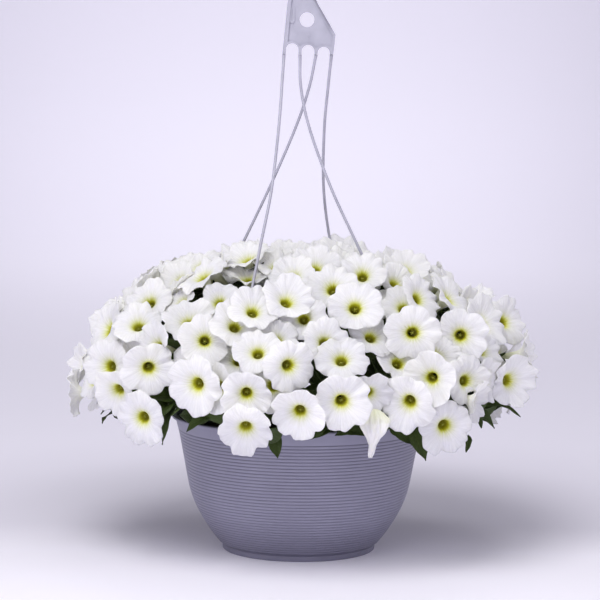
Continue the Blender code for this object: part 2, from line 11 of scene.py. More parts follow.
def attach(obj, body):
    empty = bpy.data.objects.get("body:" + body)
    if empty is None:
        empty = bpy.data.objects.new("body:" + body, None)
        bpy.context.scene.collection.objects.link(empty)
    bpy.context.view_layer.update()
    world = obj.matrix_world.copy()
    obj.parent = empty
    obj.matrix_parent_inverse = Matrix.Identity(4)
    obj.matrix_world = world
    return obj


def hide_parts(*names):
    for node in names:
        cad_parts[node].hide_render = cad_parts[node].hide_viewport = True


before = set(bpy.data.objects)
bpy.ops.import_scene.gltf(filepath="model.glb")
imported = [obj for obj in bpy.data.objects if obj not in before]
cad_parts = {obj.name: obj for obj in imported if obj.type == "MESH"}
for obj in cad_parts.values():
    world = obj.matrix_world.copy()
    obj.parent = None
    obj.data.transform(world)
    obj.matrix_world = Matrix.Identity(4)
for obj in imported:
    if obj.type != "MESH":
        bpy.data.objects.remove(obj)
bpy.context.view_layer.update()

MM = 0.001

# ------------------------------------------------------------- dimensions
POT_SIDES = 32                 # facets round the bowl
FOOT_R = 0.0945                # foot of the bowl
FOOT_H = 0.0068
RIM_R = 0.1535                 # bowl wall just under the lip
LIP_R = 0.1585                 # outer edge of the rolled lip
POT_H = 0.168
WALL = 0.0020
FLOOR = 0.0024
DRAIN_R = 0.0045               # drain holes and the circle they lie on
DRAIN_CIRCLE = 0.062
DRAINS = 4
SOIL_TOP = 0.1460
GAP = 0.00035                  # clearance between separate pieces

HEAD_Z = 0.6107                # lower end of the hanger head
HEAD_T = 0.0070                # depth of the head's flanges
WEB_T = 0.0024                 # thickness of its web
HOOK_R = 0.0180                # middle radius of the hook's bend
HOOK_BAR = 0.0070
STRAND_W = 0.0036
CLIP_W = 0.0100

MOUND_R = 0.271                # surface that the throats of the blooms lie on
MOUND_Z = 0.176
MOUND_UP = 0.190
MOUND_POWER = 2.3

TUBE_LEN = 0.034               # corolla tube behind the throat
CALYX_R = 0.0032
STEM_R = 0.0026
PEDICEL_R = 0.0013


def turned(profile, sides):
    """A closed body turned about Z.  The profile starts and ends on the axis."""
    verts, faces = [], []
    first = Vector((0, 0, profile[0][1]))
    last = Vector((0, 0, profile[-1][1]))
    rings = []
    for r, z in profile[1:-1]:
        ring = []
        for k in range(sides):
            a = 2 * math.pi * k / sides
            ring.append(len(verts))
            verts.append(Vector((r * math.cos(a), r * math.sin(a), z)))
        rings.append(ring)
    for lower, upper in zip(rings, rings[1:]):
        for k in range(sides):
            j = (k + 1) % sides
            faces.append((lower[k], lower[j], upper[j], upper[k]))
    for tip, ring in ((first, rings[0]), (last, rings[-1])):
        verts.append(tip)
        for k in range(sides):
            faces.append((ring[k], ring[(k + 1) % sides], len(verts) - 1))
    return verts, faces


def loft(rings, cap_start=True, cap_end=True):
    """Skin of rings.  A ring of one point is a tip; a ring may have twice the
    points of the one before it."""
    verts, index = [], []
    for ring in rings:
        index.append(list(range(len(verts), len(verts) + len(ring))))
        verts.extend(ring)
    faces = []
    for a, b in zip(index, index[1:]):
        if len(a) > len(b) and len(b) != 1 or len(a) == 1:
            a, b = b, a
        n, m = len(a), len(b)
        if m == 1:
            faces += [(a[k], a[(k + 1) % n], b[0]) for k in range(n)]
        elif n == m:
            faces += [(a[k], a[(k + 1) % n], b[(k + 1) % n], b[k]) for k in range(n)]
        else:
            for k in range(n):
                j = (k + 1) % n
                c0, c1, c2 = b[2 * k], b[2 * k + 1], b[(2 * k + 2) % m]
                faces += [(a[k], c0, c1), (a[k], a[j], c1), (a[j], c1, c2)]
    if cap_start and len(index[0]) > 1:
        faces.append(tuple(index[0]))
    if cap_end and len(index[-1]) > 1:
        faces.append(tuple(index[-1]))
    return verts, faces


def frame_of(direction):
    """Two unit vectors across a direction."""
    d = direction.normalized()
    side = d.cross(Vector((0, 0, 1)))
    if side.length < 0.05:
        side = d.cross(Vector((0, 1, 0)))
    side.normalize()
    return side, side.cross(d).normalized()


def ring_at(centre, side, up, radii, sides, turn=0.0):
    if not isinstance(radii, (tuple, list)):
        radii = (radii,)
    out = []
    for k in range(sides):
        a = 2 * math.pi * k / sides + turn
        r = radii[k % len(radii)]
        out.append(centre + side * (r * math.cos(a)) + up * (r * math.sin(a)))
    return out


def tube(points, radii, sides):
    """Closed round bar along points, each ring turned on from the last."""
    rings, side = [], None
    for k, p in enumerate(points):
        a, b = points[max(k - 1, 0)], points[min(k + 1, len(points) - 1)]
        d = (b - a).normalized()
        if side is None:
            side, up = frame_of(d)
        else:
            side = (side - d * side.dot(d)).normalized()
            up = side.cross(d).normalized()
        rings.append(ring_at(p, side, up, radii[k], sides))
    return loft(rings)


def smooth_path(points, steps):
    """Catmull-Rom curve through points, as steps+1 points evenly along it."""
    pts = [Vector(p) for p in points]
    pts = [pts[0] * 2 - pts[1]] + pts + [pts[-1] * 2 - pts[-2]]
    fine = []
    for i in range(1, len(pts) - 2):
        p0, p1, p2, p3 = pts[i - 1:i + 3]
        for s in range(16):
            t = s / 16
            fine.append(0.5 * (2 * p1 + (p2 - p0) * t
                               + (2 * p0 - 5 * p1 + 4 * p2 - p3) * t * t
                               + (3 * p1 - p0 - 3 * p2 + p3) * t ** 3))
    fine.append(pts[-2])
    run = [0.0]
    for a, b in zip(fine, fine[1:]):
        run.append(run[-1] + (b - a).length)
    out, j = [], 0
    for k in range(steps + 1):
        want = run[-1] * k / steps
        while j < len(run) - 2 and run[j + 1] < want:
            j += 1
        f = (want - run[j]) / max(run[j + 1] - run[j], 1e-9)
        out.append(fine[j].lerp(fine[j + 1], min(max(f, 0), 1)))
    return out


# ------------------------------------------------------- the planting plan
# Blooms of the front half, each by the azimuth and the polar angle of its
# throat on the mound, the azimuth and the lift that it faces, its width in
# mm, and how far it stands out of the mound in mm.
FRONT_BLOOMS = (
    (-103, 87, -90, -30, 58, 0), (-90, 82, -102, -14, 60, 0),
    (-80, 79, -87, -8, 62, 4), (-62, 80, -108, -12, 62, 0),
    (-52, 88, -72, -12, 62, 0), (-132, 87, -112, -12, 62, 0),
    (-144, 80, -122, -22, 58, -4), (-168, 85, -185, -8, 60, 2),
    (-149, 73, -125, 10, 62, 4), (-133, 71, -87, -6, 62, 0),
    (-116, 75, -114, -8, 62, 4), (-111, 75, -128, -4, 58, -8),
    (-103, 77, -85, -14, 58, 4), (-97, 74, -108, 0, 56, -8),
    (-93, 68, -70, -8, 60, 6), (-79, 65, -90, 38, 58, -4),
    (-72, 76, -78, -20, 54, -14), (-55, 73, -108, 8, 64, 4),
    (-42, 75, -55, 4, 60, -4), (-22, 78, -46, 0, 64, 2),
    (-41, 82, -18, -10, 56, -8), (-38, 59, -90, 2, 62, 2),
    (-56, 56, -90, 6, 62, 2), (-83, 57, -80, 40, 56, -6),
    (-101, 64, -95, 35, 58, 4), (-118, 59, -90, 15, 58, -2),
    (-133, 63, -140, 15, 62, 0), (-145, 57, -110, 45, 58, 2),
    (-150, 47, -110, 35, 58, 2), (-127, 52, -90, 42, 58, -6),
    (-110, 53, -90, 38, 56, -4), (-105, 48, -85, 42, 60, 4),
    (-95, 42, -75, 45, 60, 0), (-89, 47, -98, 28, 58, -4),
    (-72, 45, -90, 24, 60, 4), (-77, 34, -100, 38, 58, 0),
    (-81, 20, -80, 48, 56, 0), (-58, 27, -90, 42, 60, 2),
    (-52, 44, -100, 42, 56, -4), (-45, 42, -50, 22, 56, 4),
    (-24, 27, -70, 48, 56, 2), (-4, 60, -42, 20, 58, 12),
    (-9, 72, -10, 8, 56, 14), (8, 50, -85, 66, 54, 4),
)
OWN_BLOOMS = 37                # blooms that are pieces of their own
INFILL = 520                   # candidate points of the spiral over the mound
INFILL_SPACING = 0.0560
YOUNG_SPACING = 0.0440         # smaller, younger blooms in what gaps are left
STRAND_SPACING = 0.0210        # how far these stay from the hanger's strands
LOWEST_ANGLE = 96              # how far round the infill goes, and in front
LOWEST_FRONT = 80
LEAVES_PER_NODE = 2

# Leaves of the skirt under the blooms: azimuth, radius and height of the
# leaf's base, then of its tip, in degrees and mm, and the blade's width.
SKIRT_LEAVES = (
    (-95, 176, 189, -96, 203, 148, 17), (-101, 172, 190, -104, 199, 163, 13),
    (-121, 178, 196, -125, 201, 166, 18), (-88, 166, 190, -82, 196, 168, 22),
    (-75, 168, 190, -71, 190, 171, 17), (-56, 172, 192, -51, 200, 161, 22),
    (-42, 178, 190, -39, 214, 146, 24), (-36, 186, 190, -28, 222, 160, 18),
    (-22, 182, 196, -14, 226, 172, 20), (-142, 176, 206, -141, 212, 158, 16),
    (-138, 180, 222, -131, 216, 196, 26), (-150, 186, 206, -157, 232, 178, 14),
    (-163, 184, 206, -170, 226, 174, 20),
)

HEADS = (                      # azimuth of each plant's crown
    ("a", -75.0), ("b", 15.0), ("c", 105.0), ("d", 195.0),
)
CROWN_R = 0.075
STRANDS = (                    # name, azimuth of the clip, path in mm
    ("front_left", -115.0, (
        (-72, -152, 205), (-69, -140, 262), (-60, -122, 322), (-49, -92, 382),
        (-36.6, -60, 448), (-28.8, -32, 522), (-25.4, -12, 575), (-23.4, 0, 610.4))),
    ("front_right", -25.0, (
        (148, -67, 206), (124, -60, 262), (97, -51, 322), (66.5, -38, 384),
        (35.1, -24, 450), (8.8, -11, 520), (-2.4, -4, 570), (-3.9, 0, 610.4))),
    ("rear_right", 65.0, (
        (67, 150, 212), (60, 132, 268), (49, 108, 322), (34.5, 80, 386),
        (26.8, 52, 450), (27.0, 26, 520), (30.8, 10, 570), (34.6, 0, 610.4))),
    ("rear_left", 155.0, (
        (-142, 70, 214), (-122, 64, 268), (-96, 54, 328), (-67, 40, 388),
        (-37.4, 25, 452), (-8.0, 12, 522), (7.6, 5, 570), (15.7, 0, 610.4))),
)


def polar(azimuth, radius, z):
    a = math.radians(azimuth)
    return Vector((radius * math.cos(a), radius * math.sin(a), z))


def on_mound(azimuth, angle):
    t = math.radians(angle)
    r = MOUND_R * abs(math.sin(t)) ** (2 / MOUND_POWER)
    z = MOUND_Z + MOUND_UP * math.copysign(abs(math.cos(t)) ** (2 / MOUND_POWER),
                                           math.cos(t))
    return polar(azimuth, r, z)


def facing(azimuth, lift):
    return polar(azimuth, math.cos(math.radians(lift)), math.sin(math.radians(lift)))


def wave(k, salt):
    """A fixed value from -1 to 1 for each k."""
    return 2 * (math.sin(12.9898 * k + 78.233 * salt) * 43758.5453 % 1) - 1


class Piece:
    """A placed shape, kept so that later shapes can stay clear of it."""

    def __init__(self, verts, faces, owner, kind):
        self.centre = sum((Vector(v) for v in verts), Vector()) / len(verts)
        self.reach = max((Vector(v) - self.centre).length for v in verts)
        self.tree = BVHTree.FromPolygons([tuple(v) for v in verts], faces)
        self.owner, self.kind = owner, kind

    def hits(self, other):
        if (self.centre - other.centre).length > self.reach + other.reach:
            return False
        return bool(self.tree.overlap(other.tree))


# ------------------------------------------------------------ plant shapes
def bloom_mesh(throat, axis, width, roll, grow=1.0):
    """A funnel flower: narrow tube, then a five-lobed limb, open in front."""
    side, up = frame_of(axis)
    s = width / 0.060 * grow
    turn = math.radians(roll)

    def ring(t, r, n):
        return ring_at(throat + axis * t, side, up, r, n, turn)

    rings = [ring(-TUBE_LEN, 0.0026 * s, 5), ring(-0.0010, 0.0066 * s, 5),
             ring(0.0110 * s, (0.0300 * s, 0.0272 * s), 10),
             ring(0.0014, 0.0050 * s, 5), [throat - axis * 0.020]]
    return loft(rings)


def leaf_mesh(base, tip, width, normal, stalk_from=None):
    """A thin leaf with a fold along its midrib, on a stalk."""
    run = tip - base
    d = run.normalized()
    normal = (normal - d * normal.dot(d)).normalized()
    side = d.cross(normal).normalized()
    rings = []
    start = stalk_from if stalk_from is not None else base - d * 0.012

    def ring(p, half, thick, fold):
        return [p - side * half + normal * fold, p - normal * thick / 2,
                p + side * half + normal * fold, p + normal * thick / 2]

    rings.append(ring(start, 0.0010, 0.0020, 0))
    rings.append(ring(base, 0.0016, 0.0020, 0))
    sag = normal * (run.length * 0.10)
    rings.append(ring(base + run * 0.46 + sag, width / 2, 0.0016, 0.0022))
    rings.append([tip])
    return loft(rings)


def bezier(p0, p1, p2, p3, steps):
    out = []
    for k in range(steps + 1):
        t = k / steps
        out.append(p0 * (1 - t) ** 3 + p1 * 3 * t * (1 - t) ** 2
                   + p2 * 3 * t * t * (1 - t) + p3 * t ** 3)
    return out


# ----------------------------------------------------------- shoots' stems
def shoot_paths():
    """Sixteen stems: from each crown three lean out over the rim and one
    stands up."""
    out = []
    for p, (letter, azimuth) in enumerate(HEADS):
        for k, spread in enumerate((-30.0, 0.0, 30.0)):
            a = azimuth + spread
            n = 4 * p + k
            rise = 0.212 + 0.006 * wave(n, 1)
            base = polar(azimuth, CROWN_R, 0) + polar(a, 0.020, 0)
            base.z = SOIL_TOP + 2 * GAP
            pts = [base, base + Vector((0, 0, 0.006)), base + polar(a, 0.004, 0.022),
                   polar(a, 0.112, rise - 0.016), polar(a, 0.146, rise),
                   polar(a + 2 * wave(n, 2), 0.180, rise - 0.010),
                   polar(a + 4 * wave(n, 3), 0.204, rise - 0.032)]
            out.append((f"plant_{letter}_shoot_{k + 1}", smooth_path(pts, 9)))
        a = azimuth + 20 * wave(p, 4)
        base = polar(azimuth, CROWN_R, 0) - polar(azimuth, 0.014, 0)
        base.z = SOIL_TOP + 2 * GAP
        pts = [base, base + Vector((0, 0, 0.008)), base + Vector((0, 0, 0.026)), polar(azimuth, 0.060, 0.210),
               polar(a, 0.066, 0.256), polar(a, 0.078, 0.292)]
        out.append((f"plant_{letter}_shoot_4", smooth_path(pts, 7)))
    return out


# ----------------------------------------------------------------- strands
def clip_profile():
    """Section of a strand's clip round the lip of the bowl, as (r, z)."""
    return ((0.1540, POT_H + 0.0005), (0.1590, POT_H + 0.0005), (0.1590, 0.1640),
            (0.1548, 0.1640), (0.1548, 0.1608), (0.1630, 0.1608),
            (0.1630, 0.1718), (0.1540, 0.1718))


def strand_meshes(azimuth, path):
    """The clip's solid and the strand's solid, which overlap at the clip."""
    out_dir = polar(azimuth, 1, 0)
    across = Vector((-out_dir.y, out_dir.x, 0))
    ring = [[out_dir * r + Vector((0, 0, z)) + across * (CLIP_W / 2 * s)
             for r, z in clip_profile()] for s in (-1, 1)]
    clip = loft(ring)
    pts = [polar(azimuth, 0.1608, 0.1700), polar(azimuth, 0.1622, 0.1800)]
    pts += [Vector(p) * MM for p in path]
    pts = smooth_path(pts, 18)
    bar = tube(pts, [STRAND_W / 2 * 1.06] * len(pts), 6)
    return clip, bar


# ------------------------------------------------------------------ layout
def behind_strand(p, bars):
    """The point p, moved back where it would stand in front of the upper part
    of the front left strand, which lies on the blooms there."""
    front = [q for q in bars[:41] if 0.325 < q.z < 0.40
             and abs(p.x - q.x) < 0.038 and abs(p.z - q.z) < 0.036]
    if front:
        p = Vector((p.x, max(p.y, max(q.y for q in front) + 0.016), p.z))
    return p


def wanted_blooms():
    """(throat, axis, width, spacing) of the planned blooms, then of a spiral
    of points over the mound that fills the rest, and of smaller blooms set a
    little deeper in what gaps are left.  A spacing of 0 marks a planned one."""
    out = []
    for az, angle, look, lift, width, stand in FRONT_BLOOMS:
        p = on_mound(az, angle) + facing(az, 90 - angle) * (stand * MM)
        out.append((p, facing(look, lift), width * MM, 0))
    bars = [p for _, _, path in STRANDS
            for p in smooth_path([Vector(q) * MM for q in path], 40)]
    golden = math.pi * (3 - math.sqrt(5))
    low = math.cos(math.radians(LOWEST_ANGLE))
    for n in range(2 * INFILL):
        k = n % INFILL
        angle = math.degrees(math.acos(1 - (1 - low) * (k + 0.5) / INFILL))
        az = math.degrees(k * golden) % 360 - 180
        if angle > LOWEST_FRONT + 16 * max(0, 0.3 + math.sin(math.radians(az))):
            continue
        p = behind_strand(on_mound(az, angle)
                          + facing(az, 90 - angle) * (0.006 * wave(k, 7)), bars)
        if any((p - q).length < STRAND_SPACING for q in bars):
            continue
        axis = facing(az + 16 * wave(k, 6), (90 - angle) * 0.86 + 9 * wave(k, 5))
        if n < INFILL:
            out.append((p, axis, 0.058 + 0.003 * wave(k, 8), INFILL_SPACING))
        else:
            out.append((p - facing(az, 90 - angle) * 0.008, axis,
                        0.044 + 0.002 * wave(k, 8), YOUNG_SPACING))
    return out


def lay_out_blooms(stems, placed):
    """Every bloom as (throat, axis, width, roll), with the stem that bears it
    and its stalk.  Each moves a little where it would run into what is placed
    already, or where no stem could reach it."""
    tries = [(0, 0, 0, 1.0)]
    for size in (1.0, 0.94, 0.88):
        for shift in (0, 5, -5, 9, -9, 13, -13, 17, -17):
            for a, b in ((0, 0), (0.16, 0), (-0.16, 0), (0, 0.16), (0, -0.16)):
                tries.append((shift, a, b, size))
    blooms = []
    for k, (p, axis, width, spacing) in enumerate(wanted_blooms()):
        if spacing and any((p - b[0]).length < spacing for b in blooms):
            continue
        side, up = frame_of(axis)
        roll = 72 * wave(k, 9)
        for shift, a, b, size in tries:
            aim = (axis + side * a + up * b).normalized()
            at = p + axis * (shift * MM)
            piece = Piece(*bloom_mesh(at, aim, width * size, roll), None, "bloom")
            if any(piece.hits(other) for other in placed):
                continue
            found = stalk_of(at, aim, len(blooms) < OWN_BLOOMS, piece, stems, placed)
            if found:
                placed.append(piece)
                blooms.append((at, aim, width * size, roll, *found, k))
                break
    return blooms


def stalk_of(throat, axis, own, body, stems, placed):
    """(stem number, mesh) of a stalk from a stem to the bloom's calyx, by the
    shortest clear way, or None."""
    end = throat - axis * (TUBE_LEN + (GAP if own else -0.0025))
    options = []
    for s, (_, path) in enumerate(stems):
        for i in range(3, len(path)):
            along = (path[i] - path[i - 1]).normalized()
            for share in (0.28, 0.55, 0.82):
                p = path[i - 1].lerp(path[i], share)
                gap = end - p
                bend = 1.5 - 0.5 * gap.normalized().dot(axis)
                back = 0.15 * (1 - gap.normalized().dot(along))
                options.append((gap.length * (bend + back), s, i, share))
    options.sort()
    for _, s, i, share in options[:24]:
        path = stems[s][1]
        p = path[i - 1].lerp(path[i], share)
        along = (path[i] - path[i - 1]).normalized()
        run = (end - p).length
        away = ((end - p).normalized() + along * 0.6).normalized()
        for bow in (0.38, 0.22, 0.55):
            pts = bezier(p, p + away * run * bow, end - axis * run * bow, end,
                         3 if run > 0.035 else 2)
            radii = [PEDICEL_R] * len(pts)
            if own:
                pts = pts[:-1] + [end - axis * 0.0045, end]
                radii = radii[:-1] + [PEDICEL_R * 1.2, CALYX_R]
            shape = tube(pts, radii, 3)
            piece = Piece(*shape, s, "stalk")
            if piece.hits(body) and own or any(
                    piece.hits(o) for o in placed
                    if not (o.owner == s and o.kind == "stem")):
                continue
            placed.append(piece)
            return s, shape, p
    return None


def leaf_on(stem, i, base, tip, width, normal, placed):
    """A leaf whose stalk starts in a stem's middle, or None if it would run
    into something else."""
    shape = leaf_mesh(base, tip, width, normal, stem[1][i])
    piece = Piece(*shape, stem[0], "leaf")
    if any(piece.hits(o) for o in placed if not (o.owner == stem[0] and o.kind == "stem")):
        return None
    placed.append(piece)
    return base, tip, width, normal, stem[1][i]


def lay_out_leaves(stems, placed):
    """Leaf meshes for each stem: first the skirt of leaves that hang under
    the blooms, then pairs along each stem."""
    out = {s: [] for s in range(len(stems))}
    for a0, r0, z0, a1, r1, z1, width in SKIRT_LEAVES:
        base, tip = polar(a0, r0 * MM, z0 * MM), polar(a1, r1 * MM, z1 * MM)
        nearest = min((((base - p).length, s, i) for s, (_, path) in enumerate(stems)
                       for i, p in enumerate(path) if i > 2))
        _, s, i = nearest
        for shift in (0, 4, -4, 8, -8, 12, -12, 18):
            move = Vector((0, 0, shift * MM))
            out_dir = polar(a1, 1, 0.4)
            made = leaf_on((s, stems[s][1]), i, base + move, tip + move, width * MM,
                           out_dir, placed)
            if made:
                out[s].append(made)
                break
    for s, (_, path) in enumerate(stems):
        for i in range(2, len(path)):
            for k in range(LEAVES_PER_NODE):
                p = path[i]
                along = (path[i] - path[i - 1]).normalized()
                side, up = frame_of(along)
                for turn in range(9):
                    a = 2.4 * i + math.pi * k + turn * 0.7
                    reach = side * math.cos(a) + up * math.sin(a)
                    d = (reach + along * 0.55 + Vector((0, 0, 0.25))).normalized()
                    length = 0.046 + 0.008 * wave(10 * s + i, 11 + k)
                    base, tip = p + d * 0.016, p + d * (0.016 + length)
                    if (Vector((tip.x, tip.y, 0)).length < 0.165 and tip.z < POT_H + 0.004) \
                            or tip.z < SOIL_TOP + 0.004:
                        continue
                    made = leaf_on((s, path), i, base, tip, length * 0.48,
                                   reach.cross(along).cross(d), placed)
                    if made:
                        out[s].append(made)
                        break
    return out


def pot_profile():
    """The bowl's section: foot, curved wall, plain band and outward lip."""
    outer = [(FOOT_R - 0.0008, 0.0), (FOOT_R, 0.0010), (FOOT_R + 0.0002, FOOT_H - 0.0008),
             (FOOT_R - 0.0002, FOOT_H), (FOOT_R + 0.0020, FOOT_H + 0.0004),
             (0.1030, 0.0147), (0.1137, 0.0295), (0.1227, 0.0443), (0.1299, 0.0590),
             (0.1353, 0.0739), (0.1397, 0.0950), (0.1437, 0.1160), (0.1487, 0.1429),
             (RIM_R, 0.1620), (RIM_R, 0.1645), (LIP_R, 0.1648), (LIP_R, POT_H)]
    inner = [(RIM_R - WALL, POT_H), (RIM_R - WALL, 0.1600), (0.1487 - WALL, 0.1425),
             (0.1397 - WALL, 0.0945), (0.1353 - WALL, 0.0735),
             (0.1227 - WALL, 0.0440), (0.1022 - WALL, 0.0160),
             (FOOT_R - WALL - 0.0006, 0.0080), (FOOT_R - WALL - 0.0010, FLOOR)]
    return [(0, 0.0)] + outer + inner + [(0, FLOOR)]


# ------------------------------------------------------------- mesh builder
class Build:
    """Collects closed shells with their attributes into one mesh."""

    def __init__(self):
        self.v, self.a, self.b, self.faces, self.mats, self.n = [], [], [], [], [], 0

    def add(self, verts, faces, mat=0, pat=None, tag=None):
        verts = np.asarray(verts, float).reshape(-1, 3)
        count = len(verts)
        self.v.append(verts)
        self.a.append(np.zeros((count, 3)) if pat is None else np.asarray(pat, float))
        self.b.append(np.zeros((count, 3)) if tag is None
                      else np.broadcast_to(np.asarray(tag, float), (count, 3)))
        for group in faces if isinstance(faces, list) and len(faces) \
                and isinstance(faces[0], np.ndarray) and faces[0].ndim == 2 else [faces]:
            group = [tuple(int(i) + self.n for i in f) for f in group]
            self.faces.extend(group)
            self.mats.extend([mat] * len(group))
        self.n += count

    def make(self, name, mats, flat=False):
        mesh = bpy.data.meshes.new(name)
        verts = np.concatenate(self.v)
        mesh.from_pydata(verts.tolist(), [], self.faces)
        for label, rows in (("pat", self.a), ("tag", self.b)):
            data = mesh.attributes.new(label, "FLOAT_VECTOR", "POINT")
            data.data.foreach_set("vector", np.concatenate(rows).astype(np.float32).ravel())
        for mat in mats:
            mesh.materials.append(mat)
        mesh.polygons.foreach_set("material_index", self.mats)
        if not flat:
            mesh.shade_smooth()
        mesh.update()
        obj = bpy.data.objects.new(name, mesh)
        bpy.context.scene.collection.objects.link(obj)
        return obj


def outward(verts, faces):
    """The faces turned, if need be, so that the closed body's volume is positive."""
    v = np.asarray(verts, float)
    total = 0.0
    for f in faces:
        for k in range(1, len(f) - 1):
            total += np.dot(v[f[0]], np.cross(v[f[k]], v[f[k + 1]]))
    return [tuple(reversed(f)) for f in faces] if total < 0 else faces


def shell(grid, half, wrap, pat, tag_top, tag_bottom):
    """A thin closed shell about a grid of points, (rows, columns, 3)."""
    rows, cols = grid.shape[:2]
    if wrap:
        across = np.roll(grid, -1, 1) - np.roll(grid, 1, 1)
    else:
        across = np.gradient(grid, axis=1)
    along = np.gradient(grid, axis=0)
    normal = np.cross(along, across)
    normal /= np.maximum(np.linalg.norm(normal, axis=2, keepdims=True), 1e-12)
    half = np.broadcast_to(half, (rows, cols))[..., None]
    top, bottom = grid + normal * half, grid - normal * half
    n = rows * cols
    verts = np.concatenate([top.reshape(-1, 3), bottom.reshape(-1, 3)])
    index = np.arange(n).reshape(rows, cols)
    right = np.roll(index, -1, 1) if wrap else index[:, 1:]
    left = index if wrap else index[:, :-1]
    a, b, c, d = left[:-1], right[:-1], right[1:], left[1:]
    quad = np.stack([a, b, c, d], -1).reshape(-1, 4)
    faces = [quad[:, ::-1], quad + n]
    for row, turned_round in ((0, False), (rows - 1, True)):
        lo, hi = left[row], right[row]
        strip = np.stack([lo, hi, hi + n, lo + n], -1)
        faces.append(strip[:, ::-1] if turned_round else strip)
    if not wrap:
        for col, turned_round in ((0, True), (cols - 1, False)):
            lo, hi = index[:-1, col], index[1:, col]
            strip = np.stack([lo, hi, hi + n, lo + n], -1)
            faces.append(strip[:, ::-1] if turned_round else strip)
    pats = np.concatenate([pat.reshape(-1, 3)] * 2)
    tags = np.concatenate([np.broadcast_to(tag_top, (n, 3)),
                           np.broadcast_to(tag_bottom, (n, 3))])
    return verts, faces, pats, tags


def vec(v):
    return np.array([v.x, v.y, v.z])


def rnd(k, salt):
    """A fixed value from 0 to 1 for each k."""
    return 0.5 + 0.5 * wave(k, salt)


# -------------------------------------------------------------- the corolla
# Section of a bloom 60 mm wide, from the calyx to the margin: radius and
# height over the throat in mm, and the place along it, from -1 at the base
# of the tube through 0 at the throat to 1 at the margin.
SECTION = np.array((
    (2.2, -34.0, -1.0), (2.9, -25.0, -0.74), (3.8, -16.0, -0.47), (4.7, -9.0, -0.26),
    (5.7, -4.4, -0.12), (7.1, -1.2, 0.0), (9.5, 1.4, 0.10), (12.8, 3.8, 0.24),
    (16.7, 6.0, 0.40), (20.6, 7.7, 0.56), (24.4, 9.0, 0.71), (27.7, 9.8, 0.84),
    (30.2, 10.0, 0.94), (31.6, 9.8, 1.0)))
COARSE = (0, 2, 4, 5, 6, 7, 8, 9, 11, 13)     # the rows of blooms half hidden


def limb(throat, axis, width, roll, seed, cols=60, cup=None, frill=1.0, lobes=None,
         squash=None, rows=None):
    """The middle surface of one corolla: a tube that opens into five fused,
    ruffled lobes."""
    side, up = frame_of(axis)
    side, up, ax, c = vec(side), vec(up), vec(axis.normalized()), vec(throat)
    s = width / 0.060
    th = np.linspace(0, 2 * math.pi, cols, endpoint=False)[None, :]
    section = SECTION if rows is None else SECTION[list(rows)]
    r0, z0, q = (section[:, k:k + 1] for k in range(3))
    turn = math.radians(roll) + 0.05 * np.sin(th + 6 * rnd(seed, 21))
    c5 = np.cos(5 * (th - turn))
    phi = ((th - turn) / math.radians(72) + 0.5) % 1.0 * 2 - 1
    t = np.clip((r0 - 7.0) / 24.6, 0, 1)
    if lobes is None:
        lobes = [3.4 * wave(seed, 30 + j) for j in range(5)]
        if rnd(seed, 40) > 0.45:
            lobes[int(5 * rnd(seed, 41)) % 5] -= 5.0 + 4.5 * rnd(seed, 43)
        if rnd(seed, 42) > 0.60:
            lobes[int(5 * rnd(seed, 44)) % 5] += 4.0 + 3.0 * rnd(seed, 45)
    if cup is None:
        cup = 4.2 * wave(seed, 22) + 0.4
    bend = np.zeros_like(th)
    size = np.zeros_like(th)
    for j in range(5):
        off = (th - turn - math.radians(72 * j) + math.pi) % (2 * math.pi) - math.pi
        w = np.exp(-(off / 0.60) ** 2)
        bend = bend + lobes[j] * w
        size = size + 0.045 * wave(seed, 50 + j) * w
    sinus = ((1 - c5) / 2)
    outline = 1.02 - 0.15 * sinus ** 5 - 0.022 * np.exp(-(phi / 0.20) ** 2) + size
    n0, n1 = 6 + int(3 * rnd(seed, 46)), 10 + int(4 * rnd(seed, 23))
    n2 = 16 + int(5 * rnd(seed, 24))
    p1, p2, p3 = (6.28 * rnd(seed, 25 + j) for j in range(3))
    m1 = 0.55 + 0.45 * np.sin(2 * th + p3 + 1.0)
    m2 = 0.55 + 0.45 * np.sin(3 * th + p2 + 2.0)
    r = r0 * (1 + (outline - 1) * t ** 1.6)
    r = r * (1 + frill * (0.014 * t ** 3 * np.sin(n1 * th + p1 + 1.3) * m1
                          + 0.011 * t ** 5 * np.sin(n2 * th + p2 + 0.8) * m2))
    z = z0 + cup * t ** 2 + bend * t ** 1.8
    z = z - 1.5 * t * (1 - 0.3 * t) * np.exp(-(phi / 0.15) ** 2)
    z = z - 2.9 * t ** 1.5 * sinus ** 6
    z = z + frill * (2.1 * t ** 2.0 * np.sin(n0 * th + p1) * m2
                     + 1.9 * t ** 2.4 * np.sin(n1 * th + p2 + 0.7) * m1
                     + 0.95 * t ** 3.4 * np.sin(n2 * th + p2)
                     + 2.3 * t ** 2 * np.sin(3 * th + p3))
    # the lower lobes of a bloom that looks sideways hang forward a little
    z = z - 1.6 * t ** 2 * np.sin(th) * math.cos(math.asin(max(-1, min(1, ax[2]))))
    sx, sy = squash or (1 + 0.07 * wave(seed, 28), 1 + 0.07 * wave(seed, 29))
    r = r * s * MM
    z = np.where(z0 < -2, z, z * s) * MM
    grid = (c + side * (r * np.cos(th) * sx)[..., None]
            + up * (r * np.sin(th) * sy)[..., None] + ax * z[..., None])
    # a slight curve of the tube, so that no two stand alike
    sway = (side * wave(seed, 31) + up * wave(seed, 32)) * 1.6 * MM
    grid = grid + sway * (np.sin(math.pi * np.clip(-q, 0, 1)) ** 2)[..., None]
    pat = np.stack(np.broadcast_arrays(np.cos(th - turn), np.sin(th - turn), q), -1)
    return dict(grid=grid, rest=grid.copy(), pat=pat, q=section[:, 2],
                half=0.00022 - 0.00008 * t, seed=seed, frame=(c, side, up, ax, s),
                first=int(np.argmax(section[:, 2] >= 0)))


